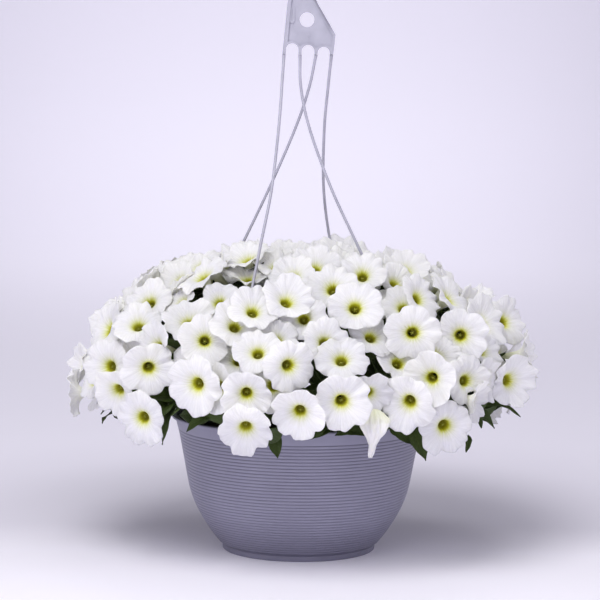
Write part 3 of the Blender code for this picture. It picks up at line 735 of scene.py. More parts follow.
def over_limb(host, points):
    """Where points are over a limb: their distance from its axis in metres and
    as a share of its radius there, and their height over its surface."""
    c, side, up, ax, s = host["frame"]
    axes = np.stack([side, up, ax])
    own = (host["grid"][host["first"]:] - c) @ axes.T
    radius = np.hypot(own[..., 0], own[..., 1])
    rel = (points - c) @ axes.T
    r = np.hypot(rel[:, 0], rel[:, 1])
    cols = radius.shape[1]
    col = np.rint(np.arctan2(rel[:, 1], rel[:, 0]) / math.tau * cols).astype(int) % cols
    rr, zz = radius[:, col], own[:, col, 2]
    i = np.clip((rr < r).sum(0), 1, len(rr) - 1)
    k = np.arange(len(r))
    r0, r1, z0, z1 = rr[i - 1, k], rr[i, k], zz[i - 1, k], zz[i, k]
    share = np.clip((r - r0) / np.maximum(r1 - r0, 1e-6), 0, 1)
    return r, r / np.maximum(rr[-1], 1e-6), rel[:, 2] - (z0 + (z1 - z0) * share)


def tuck(limbs):
    """Bends the margins of blooms behind the blooms that stand in front of them,
    and ends them short of those blooms' tubes."""
    pairs = []
    for i, a in enumerate(limbs):
        for b in limbs[i + 1:]:
            if np.linalg.norm(a["frame"][0] - b["frame"][0]) < 0.074:
                ha = over_limb(b, a["frame"][0][None])[2][0]
                hb = over_limb(a, b["frame"][0][None])[2][0]
                pairs.append((a, b) if ha < hb else (b, a))
    for turn in range(3):
        for back, front in pairs:
            grid = back["grid"]
            _, share, over = over_limb(front, grid.reshape(-1, 3))
            hold = np.clip((1.13 - share) / 0.17, 0, 1)
            need = np.clip(over + 0.0013, 0, None) * hold * hold * (3 - 2 * hold)
            need = 0.018 * np.tanh(need / 0.018)
            need = need.reshape(grid.shape[:2]) * np.clip((back["q"] + 0.12) / 0.40, 0,
                                                          1)[:, None]
            back["grid"] = grid - front["frame"][3] * need[..., None]
        if turn < 2:
            for m in limbs:
                d = m["grid"] - m["rest"]
                d = 0.5 * d + 0.25 * (np.roll(d, 1, 1) + np.roll(d, -1, 1))
                e = np.concatenate([d[:1], d, d[-1:]])
                m["grid"] = m["rest"] + 0.5 * d + 0.25 * (e[:-2] + e[2:])
    for back, front in pairs:
        grid, first = back["grid"], back["first"]
        rows, cols = grid.shape[:2]
        r, _, over = over_limb(front, grid[first:].reshape(-1, 3))
        inside = ((r < 0.0088) & (over > -0.010)) | ((r < 0.0062) & (over > -0.022))
        inside = inside.reshape(rows - first, cols)
        if not inside.any():
            continue
        start = np.where(inside.any(0), inside.argmax(0), rows - first)
        keep = np.clip((start - 1.2) / (rows - first - 1), 0.30, 1.0)
        keep = np.minimum(keep, np.minimum(np.roll(keep, 1), np.roll(keep, -1)))
        keep = np.minimum(keep, 0.5 * keep + 0.25 * (np.roll(keep, 1) + np.roll(keep, -1)))
        place = np.arange(rows - first)[:, None] * keep[None, :]
        i = np.minimum(place.astype(int), rows - first - 2)
        part = (place - i)[..., None]
        k = np.arange(cols)[None, :]
        old = grid[first:]
        grid[first:] = old[i, k] * (1 - part) + old[i + 1, k] * part


def corolla(build, m, mat=0):
    """Adds one corolla, as a thin closed shell about its middle surface."""
    seed = m["seed"]
    verts, faces, pats, tags = shell(m["grid"], m["half"], True, m["pat"],
                                     (0.0, rnd(seed, 60), 0), (1.0, rnd(seed, 60), 0))
    build.add(verts, faces, mat, pats, tags)
    return m["frame"]


def pollen(build, c, side, up, ax, s, seed, mat, anthers=5):
    """The stigma and five anthers down in the throat."""
    spots = [(0.0, 0.0, -5.0, 1.25)]
    for j in range(anthers):
        a = 1.257 * j + 6 * rnd(seed, 61)
        spots.append((2.1, a, -6.0 - 1.5 * rnd(seed, 62 + j), 0.85))
    for r, a, z, size in spots:
        centre = c + side * (r * math.cos(a) * MM) + up * (r * math.sin(a) * MM) \
            + ax * (z * MM)
        rings = []
        for h, w in ((-0.75, 0.65), (0.0, 1.0), (0.75, 0.65)):
            rings.append([Vector(centre + ax * (h * size * MM)
                                 + side * (w * size * MM * math.cos(k * 1.0472))
                                 + up * (w * size * MM * math.sin(k * 1.0472)))
                          for k in range(6)])
        verts, faces = loft([[Vector(centre - ax * size * MM)]] + rings
                            + [[Vector(centre + ax * size * MM)]])
        verts = [vec(v) for v in verts]
        build.add(verts, outward(verts, faces), mat)


def calyx(build, c, side, up, ax, seed, mat, length=13.0):
    """Five narrow sepals round the base of the tube, on a small cup."""
    rings = []
    for z, r in ((-37.0, 1.3), (-35.2, 2.6), (-32.6, 3.2), (-30.0, 2.95), (-30.6, 2.55)):
        rings.append([Vector(c + ax * (z * MM) + side * (r * MM * math.cos(k * 0.7854))
                             + up * (r * MM * math.sin(k * 0.7854))) for k in range(8)])
    verts, faces = loft(rings)
    verts = [vec(v) for v in verts]
    build.add(verts, outward(verts, faces), mat, np.zeros((len(verts), 3)),
              (1, rnd(seed, 70), 0))
    for j in range(5):
        a = 1.2566 * j + 6 * rnd(seed, 71)
        out = side * math.cos(a) + up * math.sin(a)
        across = np.cross(ax, out)
        spread = 1.5 + 3.5 * rnd(seed, 72 + j)
        y = np.linspace(0, 1, 6)[:, None]
        x = np.linspace(-1, 1, 3)[None, :]
        width = (1.15 + 0.75 * np.sin(math.pi * y ** 1.3)) * (1 - y ** 5 * 0.85)
        r = 2.9 + spread * y ** 2 - 0.4 * np.abs(x)
        grid = (c + ax * ((-31.5 + length * y) * MM + 0 * x)[..., None]
                + out * ((r) * MM)[..., None] + across * (x * width * MM)[..., None])
        pat = np.stack(np.broadcast_arrays(x, y, 0 * y), -1)
        verts, faces, pats, tags = shell(grid, 0.0003, False, pat,
                                         (1, rnd(seed, 70), 0), (0, rnd(seed, 70), 0))
        build.add(verts, faces, mat, pats, tags)


def stalk(build, start, end, axis, along, seed, mat, radius=1.15):
    """A thin round stalk that leaves its stem upwards and ends at a calyx."""
    run = (end - start).length
    away = ((end - start).normalized() + along * 0.6 + Vector((0, 0, 0.25))).normalized()
    pts = bezier(start, start + away * run * 0.40, end - axis * run * 0.35, end, 8)
    radii = [radius * MM * (1 + 0.25 * (1 - k / 8)) for k in range(9)]
    verts, faces = tube(pts, radii, 7)
    verts = [vec(v) for v in verts]
    build.add(verts, outward(verts, faces), mat, None, (1, rnd(seed, 80), 1))


# ------------------------------------------------------------------- leaves
def leaf(build, base, tip, width, normal, root, seed, mat, stem_mat, rows=10, cols=7):
    """An ovate leaf with a folded midrib and wavy margins, on its stalk."""
    run = tip - base
    d = run.normalized()
    n = (normal - d * normal.dot(d)).normalized()
    side = d.cross(n).normalized()
    length = run.length
    y = np.linspace(0, 1, rows)[:, None]
    x = np.linspace(-1, 1, cols)[None, :]
    half = 0.5 * width * (np.sin(math.pi * np.clip(y, 0, 1) ** 0.80) ** 0.72 + 0.05) \
        * (1 - 0.93 * y ** 9)
    arch = length * (0.10 + 0.05 * wave(seed, 90)) * 4 * y * (1 - y) \
        - length * (0.10 + 0.06 * wave(seed, 91)) * y ** 2
    p = 6.28 * rnd(seed, 92)
    lift = half * np.abs(x) * (0.30 + 0.15 * wave(seed, 93)) \
        + 0.0011 * np.abs(x) ** 2 * np.sin(9 * y + p + 1.5 * x) \
        - 0.0006 * np.exp(-(x / 0.22) ** 2) \
        + 0.0005 * np.sin(19 * y - 5 * np.abs(x)) * np.abs(x)
    twist = 0.35 * wave(seed, 94) * y
    sx, sz = x * half, lift
    px, pz = sx * np.cos(twist) - sz * np.sin(twist), sx * np.sin(twist) + sz * np.cos(twist)
    skew = length * 0.05 * wave(seed, 95) * np.sin(math.pi * y)
    grid = (vec(base) + vec(d) * (length * y + 0 * x)[..., None]
            + vec(side) * (px + skew)[..., None] + vec(n) * (pz + arch)[..., None])
    pat = np.stack(np.broadcast_arrays(x, y, 0 * y + length), -1)
    tag = rnd(seed, 96)
    verts, faces, pats, tags = shell(grid, 0.00022, False, pat, (1, tag, 0), (0, tag, 0))
    build.add(verts, faces, mat, pats, tags)
    if root is not None:
        mid = root.lerp(base, 0.6) + n * (0.15 * (base - root).length)
        pts = bezier(root, root.lerp(mid, 0.7), base - d * 0.006, base + d * 0.004, 5)
        verts, faces = tube(pts, [0.0012, 0.0011, 0.0010, 0.0010, 0.0009, 0.0006], 6)
        verts = [vec(v) for v in verts]
        build.add(verts, outward(verts, faces), stem_mat, None, (1, tag, 1))


def bud(build, base, tip, width, seed, mat):
    """A furled bud: a spindle with five twisted pleats."""
    axis = (tip - base).normalized()
    side, up = frame_of(axis)
    length = (tip - base).length
    rows, cols = 15, 25
    y = np.linspace(0, 1, rows)[:, None]
    th = np.linspace(0, 2 * math.pi, cols, endpoint=False)[None, :]
    swell = 0.28 + 0.10 * np.sin(math.pi * y) + 0.62 * np.exp(-((y - 0.80) / 0.17) ** 2)
    swell = swell * np.clip((1.02 - y) / 0.10, 0, 1) ** 0.6
    r = 0.5 * width * swell * (1 + (0.05 + 0.12 * y) * np.cos(5 * th + 5 * y + 6 * rnd(seed, 97)))
    grid = (vec(base) + vec(axis) * (length * y + 0 * th)[..., None]
            + vec(side) * (r * np.cos(th))[..., None] + vec(up) * (r * np.sin(th))[..., None])
    index = np.arange(rows * cols).reshape(rows, cols)
    right = np.roll(index, -1, 1)
    faces = [tuple(f) for f in np.stack([index[:-1], right[:-1], right[1:], index[1:]],
                                        -1).reshape(-1, 4)]
    faces += [tuple(reversed(index[0])), tuple(index[-1])]
    verts = grid.reshape(-1, 3)
    q = -0.75 + 0.95 * y ** 1.5
    pat = np.stack(np.broadcast_arrays(np.cos(th), np.sin(th), q), -1).reshape(-1, 3)
    build.add(verts, outward(verts, faces), mat, pat, (0, rnd(seed, 98), 0))


def faded(build, top, length, width, seed, mat):
    """A spent bloom that hangs from its calyx, its limb closed and twisted."""
    rows, cols = 34, 48
    y = np.linspace(0, 1, rows)[:, None]
    th = np.linspace(0, 2 * math.pi, cols, endpoint=False)[None, :]
    swell = np.interp(y, [0.0, 0.08, 0.20, 0.36, 0.50, 0.62, 0.75, 0.90, 1.0],
                      [0.22, 0.62, 0.98, 1.00, 0.78, 0.46, 0.26, 0.22, 0.12])
    fold = 1 + (0.06 + 0.26 * y) * np.cos(5 * th + 7 * y) + 0.12 * np.sin(11 * th - 9 * y)
    r = 0.5 * width * np.maximum(swell * fold, 0.05)
    bendx = 0.0030 * np.sin(3.6 * y + 0.6) + 0.0009 * np.sin(24 * y) * np.clip(y - 0.5, 0, 1)
    top = vec(top)
    grid = np.stack(np.broadcast_arrays(
        top[0] + r * np.cos(th) + bendx, top[1] + 0.62 * r * np.sin(th) - 0.006 * y,
        top[2] - length * y + 0.0010 * np.sin(5 * th) * y), -1)
    index = np.arange(rows * cols).reshape(rows, cols)
    right = np.roll(index, -1, 1)
    faces = [tuple(f) for f in np.stack([index[:-1], right[:-1], right[1:], index[1:]],
                                        -1).reshape(-1, 4)]
    faces += [tuple(reversed(index[0])), tuple(index[-1])]
    verts = grid.reshape(-1, 3)
    q = np.where(y < 0.3, -0.1 + 0.9 * y, 0.2 + 0.8 * y)
    pat = np.stack(np.broadcast_arrays(np.cos(th), np.sin(th), q), -1).reshape(-1, 3)
    build.add(verts, outward(verts, faces), mat, pat, (0, rnd(seed, 99), 0))

# --------------------------------------------------------------- materials
class Nodes:
    """Short hand for a material's node tree."""

    def __init__(self, name):
        self.mat = bpy.data.materials.new(name)
        self.mat.use_nodes = True
        self.tree = self.mat.node_tree
        self.shader = self.tree.nodes["Principled BSDF"]

    def node(self, kind, **props):
        made = self.tree.nodes.new(kind)
        for key, value in props.items():
            setattr(made, key, value)
        return made

    def put(self, socket, value):
        if isinstance(value, bpy.types.NodeSocket):
            self.tree.links.new(value, socket)
        else:
            socket.default_value = value

    def math(self, operation, a, b=0.0, c=0.0, clamp=False):
        n = self.node("ShaderNodeMath", operation=operation, use_clamp=clamp)
        for socket, value in zip(n.inputs, (a, b, c)):
            self.put(socket, value)
        return n.outputs[0]

    def attribute(self, name):
        n = self.node("ShaderNodeAttribute", attribute_name=name)
        s = self.node("ShaderNodeSeparateXYZ")
        self.put(s.inputs[0], n.outputs["Vector"])
        return s.outputs

    def vector(self, x, y, z):
        n = self.node("ShaderNodeCombineXYZ")
        for socket, value in zip(n.inputs, (x, y, z)):
            self.put(socket, value)
        return n.outputs[0]

    def place(self, scale=(1, 1, 1)):
        coord = self.node("ShaderNodeTexCoord")
        n = self.node("ShaderNodeMapping")
        self.put(n.inputs["Vector"], coord.outputs["Object"])
        n.inputs["Scale"].default_value = scale
        return n.outputs[0]

    def noise(self, vector, scale, detail=3.0, rough=0.5, distortion=0.0):
        n = self.node("ShaderNodeTexNoise")
        self.put(n.inputs["Vector"], vector)
        n.inputs["Scale"].default_value = scale
        n.inputs["Detail"].default_value = detail
        n.inputs["Roughness"].default_value = rough
        n.inputs["Distortion"].default_value = distortion
        return n.outputs["Fac"]

    def step(self, value, low, high, to_low=0.0, to_high=1.0):
        n = self.node("ShaderNodeMapRange", interpolation_type="SMOOTHSTEP")
        for socket, v in zip(n.inputs[:5], (value, low, high, to_low, to_high)):
            self.put(socket, v)
        return n.outputs[0]

    def ramp(self, value, stops, interpolation="LINEAR"):
        n = self.node("ShaderNodeValToRGB")
        n.color_ramp.interpolation = interpolation
        while len(n.color_ramp.elements) < len(stops):
            n.color_ramp.elements.new(0.5)
        for element, (at, colour) in zip(n.color_ramp.elements, stops):
            element.position = at
            element.color = (*colour, 1.0)
        self.put(n.inputs[0], value)
        return n.outputs[0]

    def mix(self, fac, a, b, blend="MIX"):
        n = self.node("ShaderNodeMix", data_type="RGBA", blend_type=blend)
        n.clamp_factor = True
        self.put(n.inputs[0], fac)
        for socket, value in ((n.inputs[6], a), (n.inputs[7], b)):
            self.put(socket, (*value, 1.0) if isinstance(value, tuple) else value)
        return n.outputs[2]

    def bump(self, height, distance, strength=1.0):
        n = self.node("ShaderNodeBump")
        n.inputs["Strength"].default_value = strength
        n.inputs["Distance"].default_value = distance
        self.put(n.inputs["Height"], height)
        self.put(self.shader.inputs["Normal"], n.outputs[0])

    def set(self, **values):
        for key, value in values.items():
            self.put(self.shader.inputs[key.replace("_", " ")], value)
        return self.mat


def petal_material():
    """White limb with faint branching veins, lemon round the throat, olive
    inside it, and a greenish tube outside."""
    n = Nodes("petal_white")
    cos, sin, q = n.attribute("pat")
    front, seed, _ = n.attribute("tag")
    shift = n.math("MULTIPLY", seed, 37.0)
    fan = n.noise(n.vector(n.math("MULTIPLY", cos, 9.0), n.math("MULTIPLY", sin, 9.0),
                           n.math("ADD", n.math("MULTIPLY", q, 1.3), shift)), 1.0, 2.0, 0.45)
    ridge = n.math("SUBTRACT", 1.0, n.math("ABSOLUTE", n.math("MULTIPLY_ADD", fan, 2.0, -1.0)))
    vein = n.step(ridge, 0.80, 1.0)
    fine = n.noise(n.vector(n.math("MULTIPLY", cos, 26.0), n.math("MULTIPLY", sin, 26.0),
                            n.math("ADD", n.math("MULTIPLY", q, 4.0), shift)), 1.0, 3.0, 0.55)
    place = n.math("MULTIPLY_ADD", q, 0.5, 0.5)
    place = n.math("ADD", place, n.math("MULTIPLY", n.math("SUBTRACT", fan, 0.5), 0.085))
    inner = n.ramp(place, [
        (0.20, (0.42, 0.36, 0.003)), (0.40, (0.27, 0.25, 0.001)),
        (0.455, (0.42, 0.415, 0.006)), (0.485, (0.62, 0.635, 0.09)),
        (0.515, (0.79, 0.815, 0.36)), (0.555, (0.88, 0.895, 0.65)),
        (0.62, (0.93, 0.933, 0.84)), (0.74, (0.950, 0.945, 0.925))])
    outer = n.ramp(place, [
        (0.02, (0.50, 0.58, 0.20)), (0.22, (0.74, 0.79, 0.46)),
        (0.42, (0.86, 0.88, 0.66)), (0.56, (0.91, 0.915, 0.82)),
        (0.80, (0.945, 0.938, 0.912))])
    colour = n.mix(front, outer, inner)
    near = n.step(q, 0.42, -0.05)
    near = n.math("MULTIPLY", near, n.math("MULTIPLY_ADD", front, 0.7, 0.3))
    colour = n.mix(n.math("MULTIPLY", n.math("MULTIPLY", vein, near), 0.30), colour,
                   (0.50, 0.54, 0.10))
    shade = n.math("SUBTRACT", 1.0, n.math("MULTIPLY", vein, 0.055))
    shade = n.math("MULTIPLY", shade, n.math("MULTIPLY_ADD", fine, 0.05, 0.97))
    shade = n.math("MULTIPLY", shade, n.math("MULTIPLY_ADD", seed, 0.04, 0.96))
    colour = n.mix(1.0, colour, n.vector(shade, shade, shade), "MULTIPLY")
    rough = n.math("MULTIPLY_ADD", fine, 0.18, 0.48)
    n.bump(n.math("ADD", n.math("MULTIPLY", fan, 1.2), n.math("MULTIPLY", fine, 0.35)),
           0.0016, 0.55)
    mat = n.set(Base_Color=colour, Roughness=rough, Specular_IOR_Level=0.20,
                Sheen_Weight=0.04, Subsurface_Weight=0.80, Subsurface_Scale=0.0020)
    n.shader.inputs["Subsurface Radius"].default_value = (1.0, 1.0, 0.85)
    return mat


def pollen_material():
    n = Nodes("pollen")
    speck = n.noise(n.place(), 1400.0, 2.0)
    n.bump(speck, 0.0003, 0.5)
    return n.set(Base_Color=n.ramp(speck, [(0.35, (0.24, 0.25, 0.02)),
                                           (0.65, (0.42, 0.42, 0.06))]), Roughness=0.7)


def leaf_material():
    """Dark green with a paler midrib and side veins, duller underneath."""
    n = Nodes("leaf_green")
    x, y, length = n.attribute("pat")
    front, seed, _ = n.attribute("tag")
    ax = n.math("ABSOLUTE", x)
    mid = n.step(ax, 0.085, 0.015)
    wave_in = n.math("SUBTRACT", y, n.math("MULTIPLY", ax, 0.20))
    lateral = n.math("SINE", n.math("MULTIPLY", wave_in, 6.2832 * 8))
    lateral = n.math("MULTIPLY", n.step(lateral, 0.86, 1.0), n.step(ax, 1.0, 0.45))
    vein = n.math("MAXIMUM", mid, n.math("MULTIPLY", lateral, 0.6), clamp=True)
    broad = n.noise(n.place(), 55.0, 3.0)
    fine = n.noise(n.place(), 900.0, 2.0, 0.6)
    colour = n.ramp(n.math("MULTIPLY_ADD", broad, 0.7, n.math("MULTIPLY", seed, 0.3)),
                    [(0.25, (0.013, 0.026, 0.002)), (0.55, (0.021, 0.039, 0.003)),
                     (0.85, (0.036, 0.063, 0.005))])
    colour = n.mix(n.math("MULTIPLY", vein, 0.45), colour, (0.070, 0.105, 0.014))
    colour = n.mix(n.math("MULTIPLY", n.math("SUBTRACT", 1.0, front), 0.45), colour,
                   (0.055, 0.085, 0.018))
    n.bump(n.math("ADD", n.math("MULTIPLY", vein, -1.0),
                  n.math("ADD", n.math("MULTIPLY", fine, 0.35), n.math("MULTIPLY", broad, 0.8))),
           0.0008, 0.7)
    return n.set(Base_Color=colour, Roughness=n.math("MULTIPLY_ADD", fine, 0.2, 0.46),
                 Specular_IOR_Level=0.24, Sheen_Weight=0.02)


def stem_material():
    n = Nodes("stem_green")
    fine = n.noise(n.place((1, 1, 0.3)), 700.0, 3.0, 0.6)
    broad = n.noise(n.place(), 40.0, 2.0)
    n.bump(fine, 0.0004, 0.6)
    return n.set(Base_Color=n.ramp(n.math("MULTIPLY_ADD", fine, 0.4, n.math("MULTIPLY", broad, 0.6)),
                                   [(0.3, (0.050, 0.090, 0.012)), (0.7, (0.11, 0.17, 0.030))]),
                 Roughness=0.55, Sheen_Weight=0.05)


def soil_material():
    n = Nodes("potting_mix_dark")
    lump = n.noise(n.place(), 160.0, 5.0, 0.65)
    speck = n.noise(n.place(), 420.0, 2.0, 0.5)
    colour = n.ramp(lump, [(0.30, (0.010, 0.006, 0.004)), (0.50, (0.036, 0.022, 0.013)),
                           (0.70, (0.085, 0.055, 0.033))])
    colour = n.mix(n.step(speck, 0.70, 0.74), colour, (0.42, 0.40, 0.36))
    n.bump(n.math("ADD", lump, n.math("MULTIPLY", speck, 0.5)), 0.004, 0.9)
    return n.set(Base_Color=colour, Roughness=0.95, Specular_IOR_Level=0.2)


def pot_material():
    """Grey-lavender moulded plastic with faint clouding and a fine grain, with painted shade in the grooves
    of its ribs and towards its foot.
    """
    n = Nodes("pot_lavender_grey")
    cloud = n.noise(n.place(), 11.0, 4.0, 0.6)
    smear = n.noise(n.place((1, 1, 0.4)), 45.0, 3.0, 0.6)
    grain = n.noise(n.place(), 1500.0, 2.0, 0.6)
    mixed = n.math("MULTIPLY_ADD", cloud, 0.7, n.math("MULTIPLY", smear, 0.3))
    colour = n.ramp(mixed, [(0.30, (0.248, 0.244, 0.329)), (0.52, (0.279, 0.275, 0.367)),
                            (0.75, (0.312, 0.307, 0.407))])
    coord = n.node("ShaderNodeTexCoord")
    sep = n.node("ShaderNodeSeparateXYZ")
    n.put(sep.inputs[0], coord.outputs["Object"])
    # painted shade: the colour darkens towards the foot, for the shade under the bowl
    painted_foot_shade = n.step(sep.outputs[2], 0.062, 0.0, 0.0, 0.62)
    colour = n.mix(painted_foot_shade, colour, (0.125, 0.120, 0.170))
    # painted shade: each groove of the ribs darkens by its depth, its strength clouded, for the shade that
    # falls in the grooves
    groove = n.attribute("pat")[0]
    groove_shade_strength = n.step(smear, 0.25, 0.75, 0.50, 0.74)
    colour = n.mix(n.math("MULTIPLY", groove, groove_shade_strength), colour, (0.055, 0.053, 0.080))
    n.bump(n.math("MULTIPLY_ADD", grain, 0.6, n.math("MULTIPLY", smear, 0.5)), 0.00018, 0.5)
    return n.set(Base_Color=colour, Roughness=n.math("MULTIPLY_ADD", grain, 0.16, 0.36),
                 Specular_IOR_Level=0.45)


def hanger_material():
    """Pale lavender-grey moulded plastic, a little clouded, with a painted shade line along the head's
    sloping edge.
    """
    n = Nodes("hanger_pale_grey")
    cloud = n.noise(n.place(), 45.0, 3.0, 0.55)
    grain = n.noise(n.place(), 1800.0, 2.0, 0.5)
    colour = n.ramp(cloud, [(0.30, (0.375, 0.372, 0.448)), (0.70, (0.450, 0.446, 0.530))])
    # painted shade: a dark line along the head's sloping edge, for the shade on the side of its flange
    coord = n.node("ShaderNodeTexCoord")
    sep = n.node("ShaderNodeSeparateXYZ")
    n.put(sep.inputs[0], coord.outputs["Object"])
    x, z = sep.outputs[0], sep.outputs[2]
    across = n.math("ADD", n.math("MULTIPLY", n.math("SUBTRACT", x, 0.0393), 0.8614),
                    n.math("MULTIPLY", n.math("SUBTRACT", z, HEAD_Z + 0.024), 0.5078))
    band = n.math("MULTIPLY", n.step(across, -0.0034, -0.0012), n.step(z, HEAD_Z + 0.022,
                                                                     HEAD_Z + 0.040))
    colour = n.mix(n.math("MULTIPLY", band, 0.72), colour, (0.15, 0.145, 0.19))
    n.bump(n.math("MULTIPLY_ADD", grain, 0.5, cloud), 0.0002, 0.5)
    return n.set(Base_Color=colour, Roughness=n.math("MULTIPLY_ADD", grain, 0.15, 0.28),
                 Specular_IOR_Level=0.5)


# -------------------------------------------------------------- made parts
def spline(points, spacing):
    """Smooth curve in (r, z) through points, at equal steps, with its run."""
    path = smooth_path([Vector((r, 0, z)) for r, z in points], 400)
    run = [0.0]
    for a, b in zip(path, path[1:]):
        run.append(run[-1] + (b - a).length)
    return path, run


def pot_piece(mat):
    """The bowl with its fine ribs between the foot and the plain band."""
    wall = [(0.0964, 0.0072), (0.0987, 0.0097), (0.1068, 0.0196), (0.1137, 0.0295),
            (0.1198, 0.0393), (0.1254, 0.0492), (0.1299, 0.0590), (0.1352, 0.0739),
            (0.1394, 0.0936), (0.1421, 0.1084), (0.1458, 0.1281), (0.1487, 0.1429),
            (0.1504, 0.1502)]
    path, run = spline(wall, 0.0039)
    pitch = (run[-1] - 0.003) / 37
    outer = [(FOOT_R - 0.0012, 0.0), (FOOT_R - 0.0002, 0.0008), (FOOT_R, 0.0020),
             (FOOT_R + 0.0002, FOOT_H - 0.0014), (FOOT_R - 0.0001, FOOT_H - 0.0004),
             (FOOT_R + 0.0010, FOOT_H + 0.0002)]
    grooves = {}
    j = 0
    for k in range(38):
        for at, depth in ((0.0, 0.60), (0.15, 0.28), (0.31, 0.0), (0.68, 0.0), (0.86, 0.28)):
            want = 0.003 + (k + at) * pitch
            if want > run[-1]:
                continue
            while j < len(run) - 2 and run[j + 1] < want:
                j += 1
            f = (want - run[j]) / (run[j + 1] - run[j])
            p = path[j].lerp(path[j + 1], f)
            d = (path[j + 1] - path[j]).normalized()
            grooves[len(outer)] = depth / 0.60
            outer.append((p.x - d.z * depth * MM, p.z + d.x * depth * MM))
    outer += [(0.1507, 0.1514), (0.1516, 0.1548), (0.1525, 0.1585),
              (0.1532, 0.1613), (0.1535, 0.1636), (0.1541, 0.1644), (0.1553, 0.1645),
              (0.1572, 0.1645), (0.1582, 0.1648), (0.1585, 0.1656), (0.1585, 0.1670),
              (0.1581, 0.1677), (0.1572, 0.1680)]
    inner = [(0.1528, 0.1680), (0.1518, 0.1676), (0.1515, 0.1666), (0.1513, 0.1600),
             (0.1498, 0.1530), (0.1467, 0.1425), (0.1437, 0.1270), (0.1399, 0.1080),
             (0.1373, 0.0935), (0.1330, 0.0735), (0.1277, 0.0590), (0.1204, 0.0440),
             (0.1112, 0.0290), (0.0997, 0.0160), (0.0918, 0.0080), (0.0915, FLOOR)]
    # rings on the floor of the bowl, so that the drain holes cut small faces
    base_rings = [(0.090, 0.0), (0.072, 0.0), (0.052, 0.0)]
    profile = [(0, 0.0)] + base_rings[::-1] + outer + inner \
        + [(0.072, FLOOR), (0.052, FLOOR), (0, FLOOR)]
    verts, faces = turned(profile, 144)
    build = Build()
    verts = [vec(v) for v in verts]
    build.add(verts, outward(verts, faces))
    pot = build.make("basket_bowl", [mat])
    for k in range(DRAINS):
        centre = polar(360 * k / DRAINS + 180 / POT_SIDES, DRAIN_CIRCLE, 0)
        verts, faces = tube([centre + Vector((0, 0, -0.005)), centre + Vector((0, 0, 0.010))],
                            [DRAIN_R, DRAIN_R], 24)
        verts = [vec(v) for v in verts]
        drill = Build()
        drill.add(verts, outward(verts, faces))
        drill = drill.make("drill", [mat])
        mod = pot.modifiers.new("drain", "BOOLEAN")
        mod.operation, mod.solver, mod.object = "DIFFERENCE", "EXACT", drill
        graph = bpy.context.evaluated_depsgraph_get()
        graph.update()
        made = bpy.data.meshes.new_from_object(pot.evaluated_get(graph))
        pot.modifiers.clear()
        pot.data = made
        bpy.data.objects.remove(drill, do_unlink=True)
    # how deep each point of the wall lies in a groove, for the painted shade in the grooves
    shade = {round(outer[k][1] * 1e6): depth for k, depth in grooves.items()}
    mesh = pot.data
    if "pat" in mesh.attributes:
        mesh.attributes.remove(mesh.attributes["pat"])
    depths = []
    for v in mesh.vertices:
        deep = shade.get(round(v.co.z * 1e6), 0.0)
        if math.hypot(v.co.x, v.co.y) < 0.0955 and v.co.z < 0.001:
            deep = 0.0
        depths += [deep, 0.0, 0.0]
    data = mesh.attributes.new("pat", "FLOAT_VECTOR", "POINT")
    data.data.foreach_set("vector", depths)
    mesh.shade_smooth()
    mesh.set_sharp_from_angle(angle=math.radians(50))
    return pot


def soil_piece(mat):
    """Potting mix: lumpy on top, and smooth against the bowl."""
    sides = 120
    inner = [(FOOT_R - WALL - 0.0012, FLOOR), (0.0912, 0.0080), (0.0985, 0.0160),
             (0.1190, 0.0440), (0.1314, 0.0735), (0.1358, 0.0935), (0.1447, 0.1400)]
    rings = [(r - GAP * 1.2, z + GAP, 0.0) for r, z in inner]
    for k in range(1, 27):
        r = 0.1450 * (1 - k / 27.0)
        rings.append((r, SOIL_TOP - 0.0012 - 0.0022 * (1 - min(1, (0.145 - r) / 0.02)), 1.0))
    verts, faces, index = [], [], []
    for r, z, lump in rings:
        row = []
        for k in range(sides):
            a = 2 * math.pi * k / sides
            p = Vector((r * math.cos(a), r * math.sin(a), z))
            if lump:
                h = noise.noise(p * 55) * 0.0022 + noise.noise(p * 160) * 0.0011
                p.z += min(h, 0.0011)
            row.append(len(verts))
            verts.append(vec(p))
        index.append(row)
    for a, b in zip(index, index[1:]):
        faces += [(a[k], a[(k + 1) % sides], b[(k + 1) % sides], b[k]) for k in range(sides)]
    for row, z in ((index[0], FLOOR + GAP), (index[-1], SOIL_TOP - 0.001)):
        verts.append(np.array([0, 0, z]))
        faces += [(row[k], row[(k + 1) % sides], len(verts) - 1) for k in range(sides)]
    work = bmesh.new()
    mesh = bpy.data.meshes.new("potting_mix_fill")
    mesh.from_pydata([tuple(v) for v in verts], [], faces)
    work.from_mesh(mesh)
    bmesh.ops.recalc_face_normals(work, faces=work.faces)
    work.to_mesh(mesh)
    work.free()
    mesh.materials.append(mat)
    mesh.shade_smooth()
    obj = bpy.data.objects.new("potting_mix_fill", mesh)
    bpy.context.scene.collection.objects.link(obj)
    return obj


